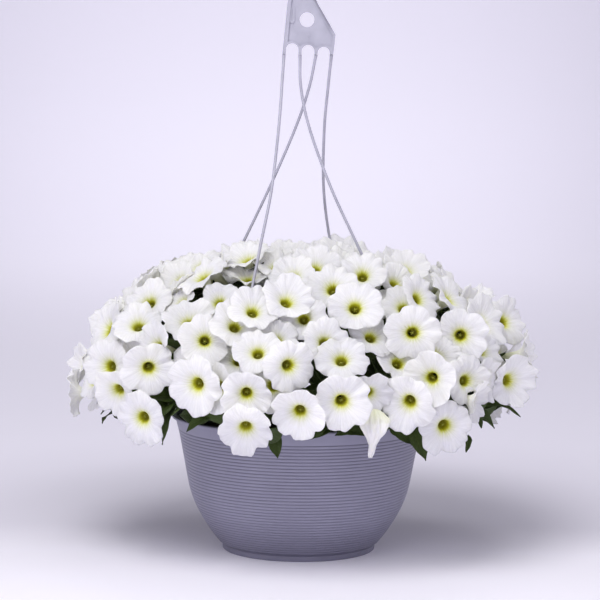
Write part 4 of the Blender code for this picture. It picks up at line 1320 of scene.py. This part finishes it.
def strand_piece(name, azimuth, path, mat):
    """One strand of the hanger: a round bar with its clip on the lip."""
    clip, _ = strand_meshes(azimuth, path)
    pts = [polar(azimuth, 0.1608, 0.1700), polar(azimuth, 0.1622, 0.1800)]
    pts += [Vector(p) * MM for p in path]
    pts = smooth_path(pts, 90)
    # the strand thickens a little where it leaves the head
    radii = [STRAND_W / 2 * (1 + 0.16 * max(0.0, 1 - (HEAD_Z - p.z) / 0.016) ** 1.5)
             for p in pts]
    verts, faces = tube(pts, radii, 14)
    verts = [vec(v) for v in verts]
    build = Build()
    build.add(verts, outward(verts, faces))
    bar = build.make(f"hanger_strand_{name}", [mat])
    verts = [vec(v) for v in clip[0]]
    other = Build()
    other.add(verts, outward(verts, clip[1]))
    hook = other.make("clip", [mat], flat=True)
    mod = hook.modifiers.new("edge", "BEVEL")
    mod.width, mod.segments, mod.limit_method = 0.0005, 2, "ANGLE"
    graph = bpy.context.evaluated_depsgraph_get()
    graph.update()
    made = bpy.data.meshes.new_from_object(hook.evaluated_get(graph))
    made.shade_smooth()
    made.set_sharp_from_angle(angle=math.radians(40))
    hook.modifiers.clear()
    hook.data = made
    mod = bar.modifiers.new("join", "BOOLEAN")
    mod.operation, mod.solver, mod.object = "UNION", "EXACT", hook
    graph = bpy.context.evaluated_depsgraph_get()
    graph.update()
    made = bpy.data.meshes.new_from_object(bar.evaluated_get(graph))
    bar.modifiers.clear()
    bar.data = made
    bpy.data.objects.remove(hook, do_unlink=True)
    made.shade_smooth()
    made.set_sharp_from_angle(angle=math.radians(40))
    return bar


# ------------------------------------------------------------- the planting
PETALS = petal_material()
POLLEN = pollen_material()
LEAF = leaf_material()
STEM = stem_material()
LOW_FRONT = 79                 # lowest polar angle of the inner blooms in front


def nearest_on_stems(stems, p, least=3):
    best = None
    for s, (_, path) in enumerate(stems):
        for i in range(least, len(path)):
            for share in (0.0, 0.33, 0.67):
                q = path[i - 1].lerp(path[i], share)
                gap = (q - p).length
                if best is None or gap < best[0]:
                    best = (gap, s, i, q)
    return best


def sampled(d):
    """Points on a bloom's limb and tube, in the world, for its clearances."""
    side, up = frame_of(d["axis"])
    side, up, ax, c = vec(side), vec(up), vec(d["axis"]), vec(d["throat"])
    s = d["width"] / 0.060
    rows = [(r * s * math.cos(a), r * s * math.sin(a), h * s)
            for r, h in ((12.0, 3.5), (20.0, 7.5), (27.0, 9.6), (31.0, 9.8))
            for a in (math.tau * k / 14 for k in range(14))]
    rows += [(0, 0, h) for h in (-9, -17, -25)]
    rows = np.array(rows) * MM
    return c + rows @ np.stack([side, up, ax])


def crossing(d, others):
    """How much a bloom cuts through, or stands before the throats of, others."""
    total = 0.0
    mine = sampled(d)
    for o in others:
        if (o["throat"] - d["throat"]).length > 0.072:
            continue
        for points, host, guest in ((mine, o, d), (o["points"], d, o)):
            ax = vec(host["axis"])
            rel = points - vec(host["throat"])
            h = rel @ ax / MM
            r = np.sqrt(np.maximum((rel ** 2).sum(1) / MM ** 2 - h ** 2, 0))
            s = host["width"] / 0.060
            over = h - s * np.interp(r / s, SECTION[5:, 0], SECTION[5:, 1])
            on = (r < 30 * s) & (r > 6 * s)
            weight = np.where(np.arange(len(points)) < 56, 1.0, 0.5)
            front = (weight * (on & (over > 1.2))).sum()
            back = (weight * (on & (over < -1.2))).sum()
            total += min(front, back)
            before = ((r < 10 * s) & (h > -2) & (h < 34))[:56].sum()
            total += before * (1.6 if host["row"] is not None else 0.7)
    return total


def forward(p, axis):
    """The blooms along the crest lean a little to the sunny side, the front."""
    high = min(1.0, max(0.0, (p.z - 0.315) / 0.05))
    edge = min(1.0, max(0.0, (abs(p.x) - 0.16) / 0.06))
    back = min(1.0, max(0.0, (p.y + 0.07) / 0.08)) * min(1.0, max(0.0, (0.20 - p.y) / 0.10))
    return (axis + Vector((0, -max(0.50 * high, 0.50 * edge) * back, 0))).normalized()


def settle(d, others, ways, steps):
    """The bloom moved and turned a little, to where it crosses others least."""
    best = None
    side, up = frame_of(d["axis"])
    home = d["throat"]
    for move in steps:
        for a, b in ways:
            aim = (d["axis"] + side * a + up * b).normalized()
            tried = dict(d, axis=aim, throat=home + (d["inward"] * -move * MM))
            cost = crossing(tried, others) + 4.0 * (abs(a) + abs(b)) + 0.25 * abs(move)
            if best is None or cost < best[0]:
                best = (cost, tried)
    best[1]["points"] = sampled(best[1])
    best[1]["cost"] = best[0]
    return best[1]


# places where leaves show between the blooms, in mm
LEAF_GAPS = ((-163, -213, 207), (-152, -221, 197), (-160, -218, 168), (-47, -250, 253),
             (-114, -245, 193), (87, -231, 267), (102, -176, 314), (218, -125, 261),
             (216, -163, 187), (195, -188, 161), (137, -234, 171), (58, -264, 187),
             (118, -244, 178), (15, -270, 186), (-26, -269, 176), (29, -191, 322))
# leaves seen there and below the skirt of blooms: base, tip in mm, width in mm
SEEN_LEAVES = (
    (-149, -165, 210, -179, -186, 208, 25), (-149, -170, 206, -171, -192, 187, 23),
    (-150, -160, 214, -161, -182, 194, 22), (-147, -166, 200, -159, -182, 183, 15),
    (-150, -172, 197, -163, -178, 156, 9), (-223, -60, 183, -241, -80, 179, 10),
    (-223, -60, 175, -239, -80, 166, 11), (-34, -222, 247, -58, -238, 254, 14),
    (-101, -182, 192, -131, -199, 177, 14), (-30, -196, 176, -25, -208, 146, 16),
    (-30, -196, 173, -45, -203, 160, 9), (31, -186, 184, 4, -194, 165, 15),
    (38, -182, 178, 15, -192, 167, 11), (43, -186, 179, 78, -194, 172, 14),
    (73, -182, 182, 41, -188, 170, 13), (105, -182, 178, 132, -186, 161, 15),
    (130, -172, 182, 149, -190, 143, 22), (230, -92, 268, 215, -108, 246, 16),
    (116, -134, 297, 92, -140, 323, 18), (90, -124, 300, 114, -136, 285, 18),
    (203, -122, 191, 233, -128, 173, 15), (205, -132, 188, 216, -146, 176, 12),
    (201, -124, 162, 199, -134, 143, 8), (70, -190, 262, 92, -206, 270, 20),
    (222, -60, 188, 270, -56, 178, 9),
)


def plan():
    """Stems, the CAD blooms and leaves, and every bloom that is drawn."""
    placed = []
    for name, azimuth, path in STRANDS:
        clip, bar = strand_meshes(azimuth, path)
        placed += [Piece(*clip, None, "strand"), Piece(*bar, None, "strand")]
    placed.append(Piece(*turned(pot_profile(), POT_SIDES), None, "pot"))
    stems = shoot_paths()
    for s, (name, path) in enumerate(stems):
        radii = [STEM_R * (1.15 - 0.45 * i / (len(path) - 1)) for i in range(len(path))]
        placed.append(Piece(*tube(path, radii, 5), s, "stem"))
    blooms = lay_out_blooms(stems, placed)
    leaves = lay_out_leaves(stems, placed)
    wanted = wanted_blooms()
    plain = ((0, 0),)
    near = plain + tuple((a, b) for a in (-0.12, 0, 0.12) for b in (-0.12, 0, 0.12))
    wide = near + tuple((a, b) for a in (-0.32, 0, 0.32) for b in (-0.32, 0, 0.32))
    rough = []
    seen = set()
    for k, (throat, axis, width, roll, s, _, root, row) in enumerate(blooms):
        planned = row < len(FRONT_BLOOMS)
        if planned:
            seen.add(row)
            throat, axis, width = wanted[row][:3]
        else:
            width *= 1.09
        rough.append(dict(throat=throat, axis=axis.normalized(), width=width, roll=roll,
                          stem=s, root=root, own=k < OWN_BLOOMS, k=k,
                          row=row if planned else None))
    for row in range(len(FRONT_BLOOMS)):
        if row not in seen:
            throat, axis, width, _ = wanted[row]
            gap, s, i, q = nearest_on_stems(stems, throat - axis * 0.05)
            rough.append(dict(throat=throat, axis=axis.normalized(), width=width,
                              roll=72 * wave(row, 9), stem=s, root=q, own=False,
                              k=200 + row, row=row))
    drawn = []
    for d in sorted(rough, key=lambda d: (d["row"] is None, d["row"] or 0, d["k"])):
        level = Vector((d["throat"].x, d["throat"].y, (d["throat"].z - 0.12) * 1.2))
        d["inward"] = -level.normalized()
        if d["row"] is None:
            lean = forward(d["throat"], d["axis"])
            d["throat"] = d["throat"] + d["inward"] * 0.017 * (lean - d["axis"]).length
            d["axis"] = lean
        if d["row"] is not None:
            drawn.append(settle(d, drawn, near, (0, 3, -3)))
        else:
            drawn.append(settle(d, drawn, wide, (0, 4, -4, -8)))
    # blooms of the second layer, a little deeper, in the gaps of the first
    bars = [p for _, _, path in STRANDS
            for p in smooth_path([Vector(q) * MM for q in path], 40)]
    golden = math.pi * (3 - math.sqrt(5))
    low = math.cos(math.radians(LOWEST_ANGLE))
    count = 1700
    for k in range(count):
        angle = math.degrees(math.acos(1 - (1 - low) * (k + 0.5) / count))
        az = math.degrees(k * golden) % 360 - 180
        if angle > LOW_FRONT + 16 * max(0, 0.2 + math.sin(math.radians(az))):
            continue
        out = facing(az, 90 - angle)
        p = behind_strand(on_mound(az, angle) - out * (0.008 + 0.004 * wave(k, 107)), bars)
        if any((p - d["throat"]).length < 0.0335 for d in drawn) \
                or any((p - q).length < 0.0190 for q in bars) \
                or any((p - Vector(q) * MM).length < 0.034 for q in LEAF_GAPS):
            continue
        axis = facing(az + 20 * wave(k, 106), (90 - angle) * 0.86 + 13 * wave(k, 105))
        d = dict(throat=p, axis=forward(p, axis.normalized()), inward=-out,
                 width=0.056 + 0.004 * wave(k, 108), roll=72 * wave(k, 109),
                 stem=0, root=p, own=False, k=300 + k, row=None)
        d = settle(d, drawn, wide, (0, -5, -10, -15))
        if d["cost"] > 20:
            continue
        gap, d["stem"], i, d["root"] = nearest_on_stems(stems, d["throat"] - d["axis"] * 0.05)
        drawn.append(d)
    return stems, leaves, drawn


def inner_leaves(stems):
    """Leaves that fill the plants behind the blooms."""
    out = []
    golden = math.pi * (3 - math.sqrt(5))
    count = 300
    for k in range(count):
        share = (k + 0.5) / count
        angle = math.degrees(math.acos(1 - 1.02 * share))
        az = math.degrees(k * golden) % 360 - 180
        depth = 0.70 + 0.16 * rnd(k, 120)
        c = on_mound(az, angle)
        base = Vector((c.x * depth * 0.86, c.y * depth * 0.86,
                       MOUND_Z + 0.012 + (c.z - MOUND_Z) * depth * 0.86))
        way = facing(az + 80 * wave(k, 121), (90 - angle) * 0.5 + 30 * wave(k, 122))
        length = 0.050 + 0.010 * wave(k, 123)
        tip = base + way.normalized() * length
        r = math.hypot(tip.x, tip.y)
        if tip.z < 0.176 and r < 0.168 or base.z < 0.172:
            continue
        gap, s, i, q = nearest_on_stems(stems, base, 2)
        out.append((s, base, tip, length * 0.56, facing(az, 90 - angle), q, k))
    return out


stems, cad_leaves, drawn = plan()
greens = [Build() for _ in stems]
petals = [Build() for _ in stems]
print("blooms drawn", len(drawn), "of which joined or added",
      sum(not d["own"] for d in drawn))

for s, (name, path) in enumerate(stems):
    fine = smooth_path(path, 36)
    radii = [STEM_R * (1.10 - 0.45 * i / 36) for i in range(37)]
    verts, faces = tube(fine, radii, 9)
    verts = [vec(v) for v in verts]
    greens[s].add(verts, outward(verts, faces), 1, None, (1, rnd(s, 130), 1))

# a spent bloom in front, its limb closed, wilted and hanging from its calyx
wilt = Vector((0.084, -0.236, 0.2085))
gap, s, i, q = nearest_on_stems(stems, wilt)
faded(petals[s], wilt, 0.055, 0.029, 77, 0)
stalk(greens[s], q, wilt + Vector((0, 0.004, 0.003)), Vector((0, -0.7, -0.3)),
      Vector((0, 0, 1)), 78, 1)

own_pieces = []
limbs = [limb(d["throat"], d["axis"], d["width"], d["roll"], d["k"],
              cols=78 if d["own"] else 46 if d["k"] >= 300 else 56,
              rows=COARSE if d["k"] >= 300 else None) for d in drawn]
tuck(limbs)
for d, m in zip(drawn, limbs):
    k, s = d["k"], d["stem"]
    target = Build() if d["own"] else petals[s]
    inner = k >= 300
    parts = corolla(target, m)
    pollen(target, *parts, k, 1, 2 if inner else 5)
    calyx(greens[s], *parts[:4], k, 0)
    end = d["throat"] - d["axis"] * 0.0365
    along = (stems[s][1][-1] - stems[s][1][-3]).normalized()
    stalk(greens[s], d["root"], end, d["axis"], along, k, 1)
    if d["own"]:
        own_pieces.append((f"petunia_bloom_{k + 1:02d}", f"bloom_{k + 1:02d}", target))

skirt = [(polar(row[3], row[4] * MM, 0)) for row in SKIRT_LEAVES]
number = 0
for s, rows in cad_leaves.items():
    for base, tip, width, normal, root in rows:
        number += 1
        if any(math.hypot(tip.x - q.x, tip.y - q.y) < 0.0004 for q in skirt):
            continue
        leaf(greens[s], base, tip, width * 1.15, normal, root, 500 + number, 0, 1)
for k, row in enumerate(SEEN_LEAVES):
    base, tip = Vector(row[:3]) * MM, Vector(row[3:6]) * MM
    gap, s, i, q = nearest_on_stems(stems, base)
    face = Vector((base.x * 0.5, base.y, 0.10)).normalized()
    leaf(greens[s], base, tip, row[6] * MM, face, q, 700 + k, 0, 1)
for s, base, tip, width, normal, root, k in inner_leaves(stems):
    leaf(greens[s], base, tip, width, normal, root, 800 + k, 0, 1, rows=8, cols=5)

for label, node, build in own_pieces:
    piece = build.make(label, [PETALS, POLLEN])
    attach(piece, "root")
    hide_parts(node)
for s, (name, _) in enumerate(stems):
    piece = greens[s].make(f"{name}_foliage", [LEAF, STEM])
    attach(piece, "root")
    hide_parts(name)
    if petals[s].n:
        piece = petals[s].make(f"{name}_flowers", [PETALS, POLLEN])
        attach(piece, "root")

# ------------------------------------------------- bowl, mix and hanger
pot = pot_piece(pot_material())
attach(pot, "root")
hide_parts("pot")
soil = soil_piece(soil_material())
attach(soil, "root")
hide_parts("potting_mix")
HANGER = hanger_material()
for name, azimuth, path in STRANDS:
    piece = strand_piece(name, azimuth, path, HANGER)
    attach(piece, "root")
    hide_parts(f"strand_{name}")
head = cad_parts["hanger_hook"]
head.data.materials.clear()
head.data.materials.append(HANGER)
edge = head.modifiers.new("edge", "BEVEL")
edge.width, edge.segments, edge.limit_method = 0.00045, 2, "ANGLE"
edge.angle_limit = math.radians(40)
edge.use_clamp_overlap = True


# ------------------------------------------------------- floor and lights
def floor_material():
    """Plain pale floor with a painted pool of light in front, a painted shadow behind the object, and a
    painted glow by emission that grows away from it.
    """
    n = Nodes("floor_pale")
    coord = n.node("ShaderNodeTexCoord")
    sep = n.node("ShaderNodeSeparateXYZ")
    n.put(sep.inputs[0], coord.outputs["Object"])
    x, y = sep.outputs[0], sep.outputs[1]
    soft = n.noise(coord.outputs["Object"], 0.7, 2.0)
    # painted light: the floor's colour is brighter in front of the object, a painted pool of light
    near = n.step(y, -0.06, 0.16)
    # painted shadow: a darker patch round a point behind the object, for its shadow on the floor
    behind = n.math("SUBTRACT", y, 0.30)
    behind = n.math("SQRT", n.math("ADD", n.math("MULTIPLY", x, x),
                                   n.math("MULTIPLY", behind, behind)))
    dim = n.mix(n.step(behind, 0.20, 0.47), (0.60, 0.585, 0.66), (0.74, 0.72, 0.81))
    colour = n.mix(near, (0.89, 0.87, 0.955), dim)
    colour = n.mix(n.math("MULTIPLY", soft, 0.05), colour, (0.70, 0.68, 0.78))
    away = n.math("SQRT", n.math("ADD", n.math("MULTIPLY", x, x), n.math("MULTIPLY", y, y)))
    # painted light: the floor and wall glow by emission, more so far from the object and less to the sides
    glow = n.step(away, 0.5, 4.5)
    aside = n.math("DIVIDE", x, n.math("ADD", away, 3.0))
    aside = n.math("ADD", aside, 0.012)
    aside = n.math("MINIMUM", n.math("MULTIPLY", n.math("MULTIPLY", aside, aside), 26.0), 0.5)
    glow = n.math("MULTIPLY", glow, n.math("SUBTRACT", 1.0, aside))
    n.set(Base_Color=colour, Roughness=0.9, Specular_IOR_Level=0.1,
          Emission_Color=(0.91, 0.88, 1.0, 1.0))
    # painted light: the glow is weaker up the wall, with a painted halo round the object, a painted pool of
    # light in front and a faint glow everywhere
    lift = n.step(sep.outputs[2], 0.05, 0.95, 1.0, 0.76)
    halo = n.math("MULTIPLY", n.step(away, 0.42, 0.95), 0.122)
    front = n.math("MULTIPLY", n.step(y, 0.06, -0.22),
                   n.step(n.math("ABSOLUTE", x), 0.52, 0.20, 0.0, 0.125))
    glow = n.math("ADD", n.math("MULTIPLY", n.math("MULTIPLY", glow, 0.41), lift),
                  n.math("ADD", n.math("MULTIPLY", halo, lift), front))
    n.put(n.shader.inputs["Emission Strength"], n.math("ADD", glow, 0.03))
    return n.mat


def floor_piece():
    verts, faces, rows = [], [], []
    sides = 96
    profile = [(0.0, 0.0), (0.4, 0.0), (1.2, 0.0), (3.0, 0.0), (5.3, 0.0), (5.9, 0.04),
               (6.6, 0.17), (7.2, 0.42), (7.7, 0.85), (8.0, 1.5), (8.1, 2.3), (8.1, 3.4)]
    for r, z in profile[1:]:
        rows.append([len(verts) + k for k in range(sides)])
        verts += [(r * math.cos(2 * math.pi * k / sides), r * math.sin(2 * math.pi * k / sides),
                   z) for k in range(sides)]
    faces.append(tuple(rows[0]))
    for a, b in zip(rows, rows[1:]):
        faces += [(a[k], b[k], b[(k + 1) % sides], a[(k + 1) % sides]) for k in range(sides)]
    mesh = bpy.data.meshes.new("studio_floor")
    mesh.from_pydata(verts, [], faces)
    mesh.materials.append(floor_material())
    mesh.shade_smooth()
    obj = bpy.data.objects.new("studio_floor", mesh)
    bpy.context.scene.collection.objects.link(obj)
    return obj


floor_piece()


def area_light(name, at, aim, size, power, colour=(1.0, 0.98, 1.0)):
    data = bpy.data.lights.new(name, "AREA")
    data.shape, data.size, data.size_y = "RECTANGLE", size[0], size[1]
    data.energy, data.color = power, colour
    obj = bpy.data.objects.new(name, data)
    obj.location = at
    obj.rotation_mode = "QUATERNION"
    obj.rotation_quaternion = (Vector(aim) - Vector(at)).to_track_quat("-Z", "Y")
    bpy.context.scene.collection.objects.link(obj)
    return obj


area_light("key_above", (-0.55, -1.65, 2.40), (0, 0.0, 0.25), (1.3, 1.3), 44,
           (1.0, 0.99, 0.975))
area_light("crown", (0.1, 0.75, 2.1), (0, 0.0, 0.30), (1.2, 0.8), 5, (1.0, 0.99, 0.98))
area_light("front_fill", (-2.3, -3.1, 1.25), (0, 0, 0.22), (2.2, 1.6), 13.5,
           (1.0, 0.99, 0.98))
area_light("side_fill", (2.6, -1.4, 1.5), (0, 0, 0.25), (1.6, 1.6), 4, (1.0, 0.99, 0.99))

world = bpy.data.worlds.new("studio")
world.use_nodes = True
back = world.node_tree.nodes["Background"]
back.inputs[0].default_value = (0.95, 0.94, 1.0, 1.0)
back.inputs[1].default_value = 0.39
scene = bpy.context.scene
scene.world = world
scene.view_settings.view_transform = "Standard"
scene.view_settings.look = "None"
scene.cycles.max_bounces = 8
scene.cycles.diffuse_bounces = 5
scene.cycles.transmission_bounces = 6
scene.cycles.caustics_reflective = False
scene.cycles.caustics_refractive = False

# -------------------------------------------------------------------- camera
data = bpy.data.cameras.new("camera")
data.sensor_width = 36.0
data.lens = 2519.0 * 36.0 / 600.0
data.shift_x = -0.8 / 600.0
data.shift_y = 0.6 / 600.0
data.clip_start, data.clip_end = 0.05, 60.0
camera = bpy.data.objects.new("camera", data)
camera.matrix_world = (Matrix.Translation((0.0, -3.0910, 0.6233))
                       @ Matrix.Rotation(math.radians(90.0 - 5.82), 4, "X")
                       @ Matrix.Rotation(0.0097, 4, "Z"))
scene.collection.objects.link(camera)
scene.camera = camera

bpy.context.view_layer.update()
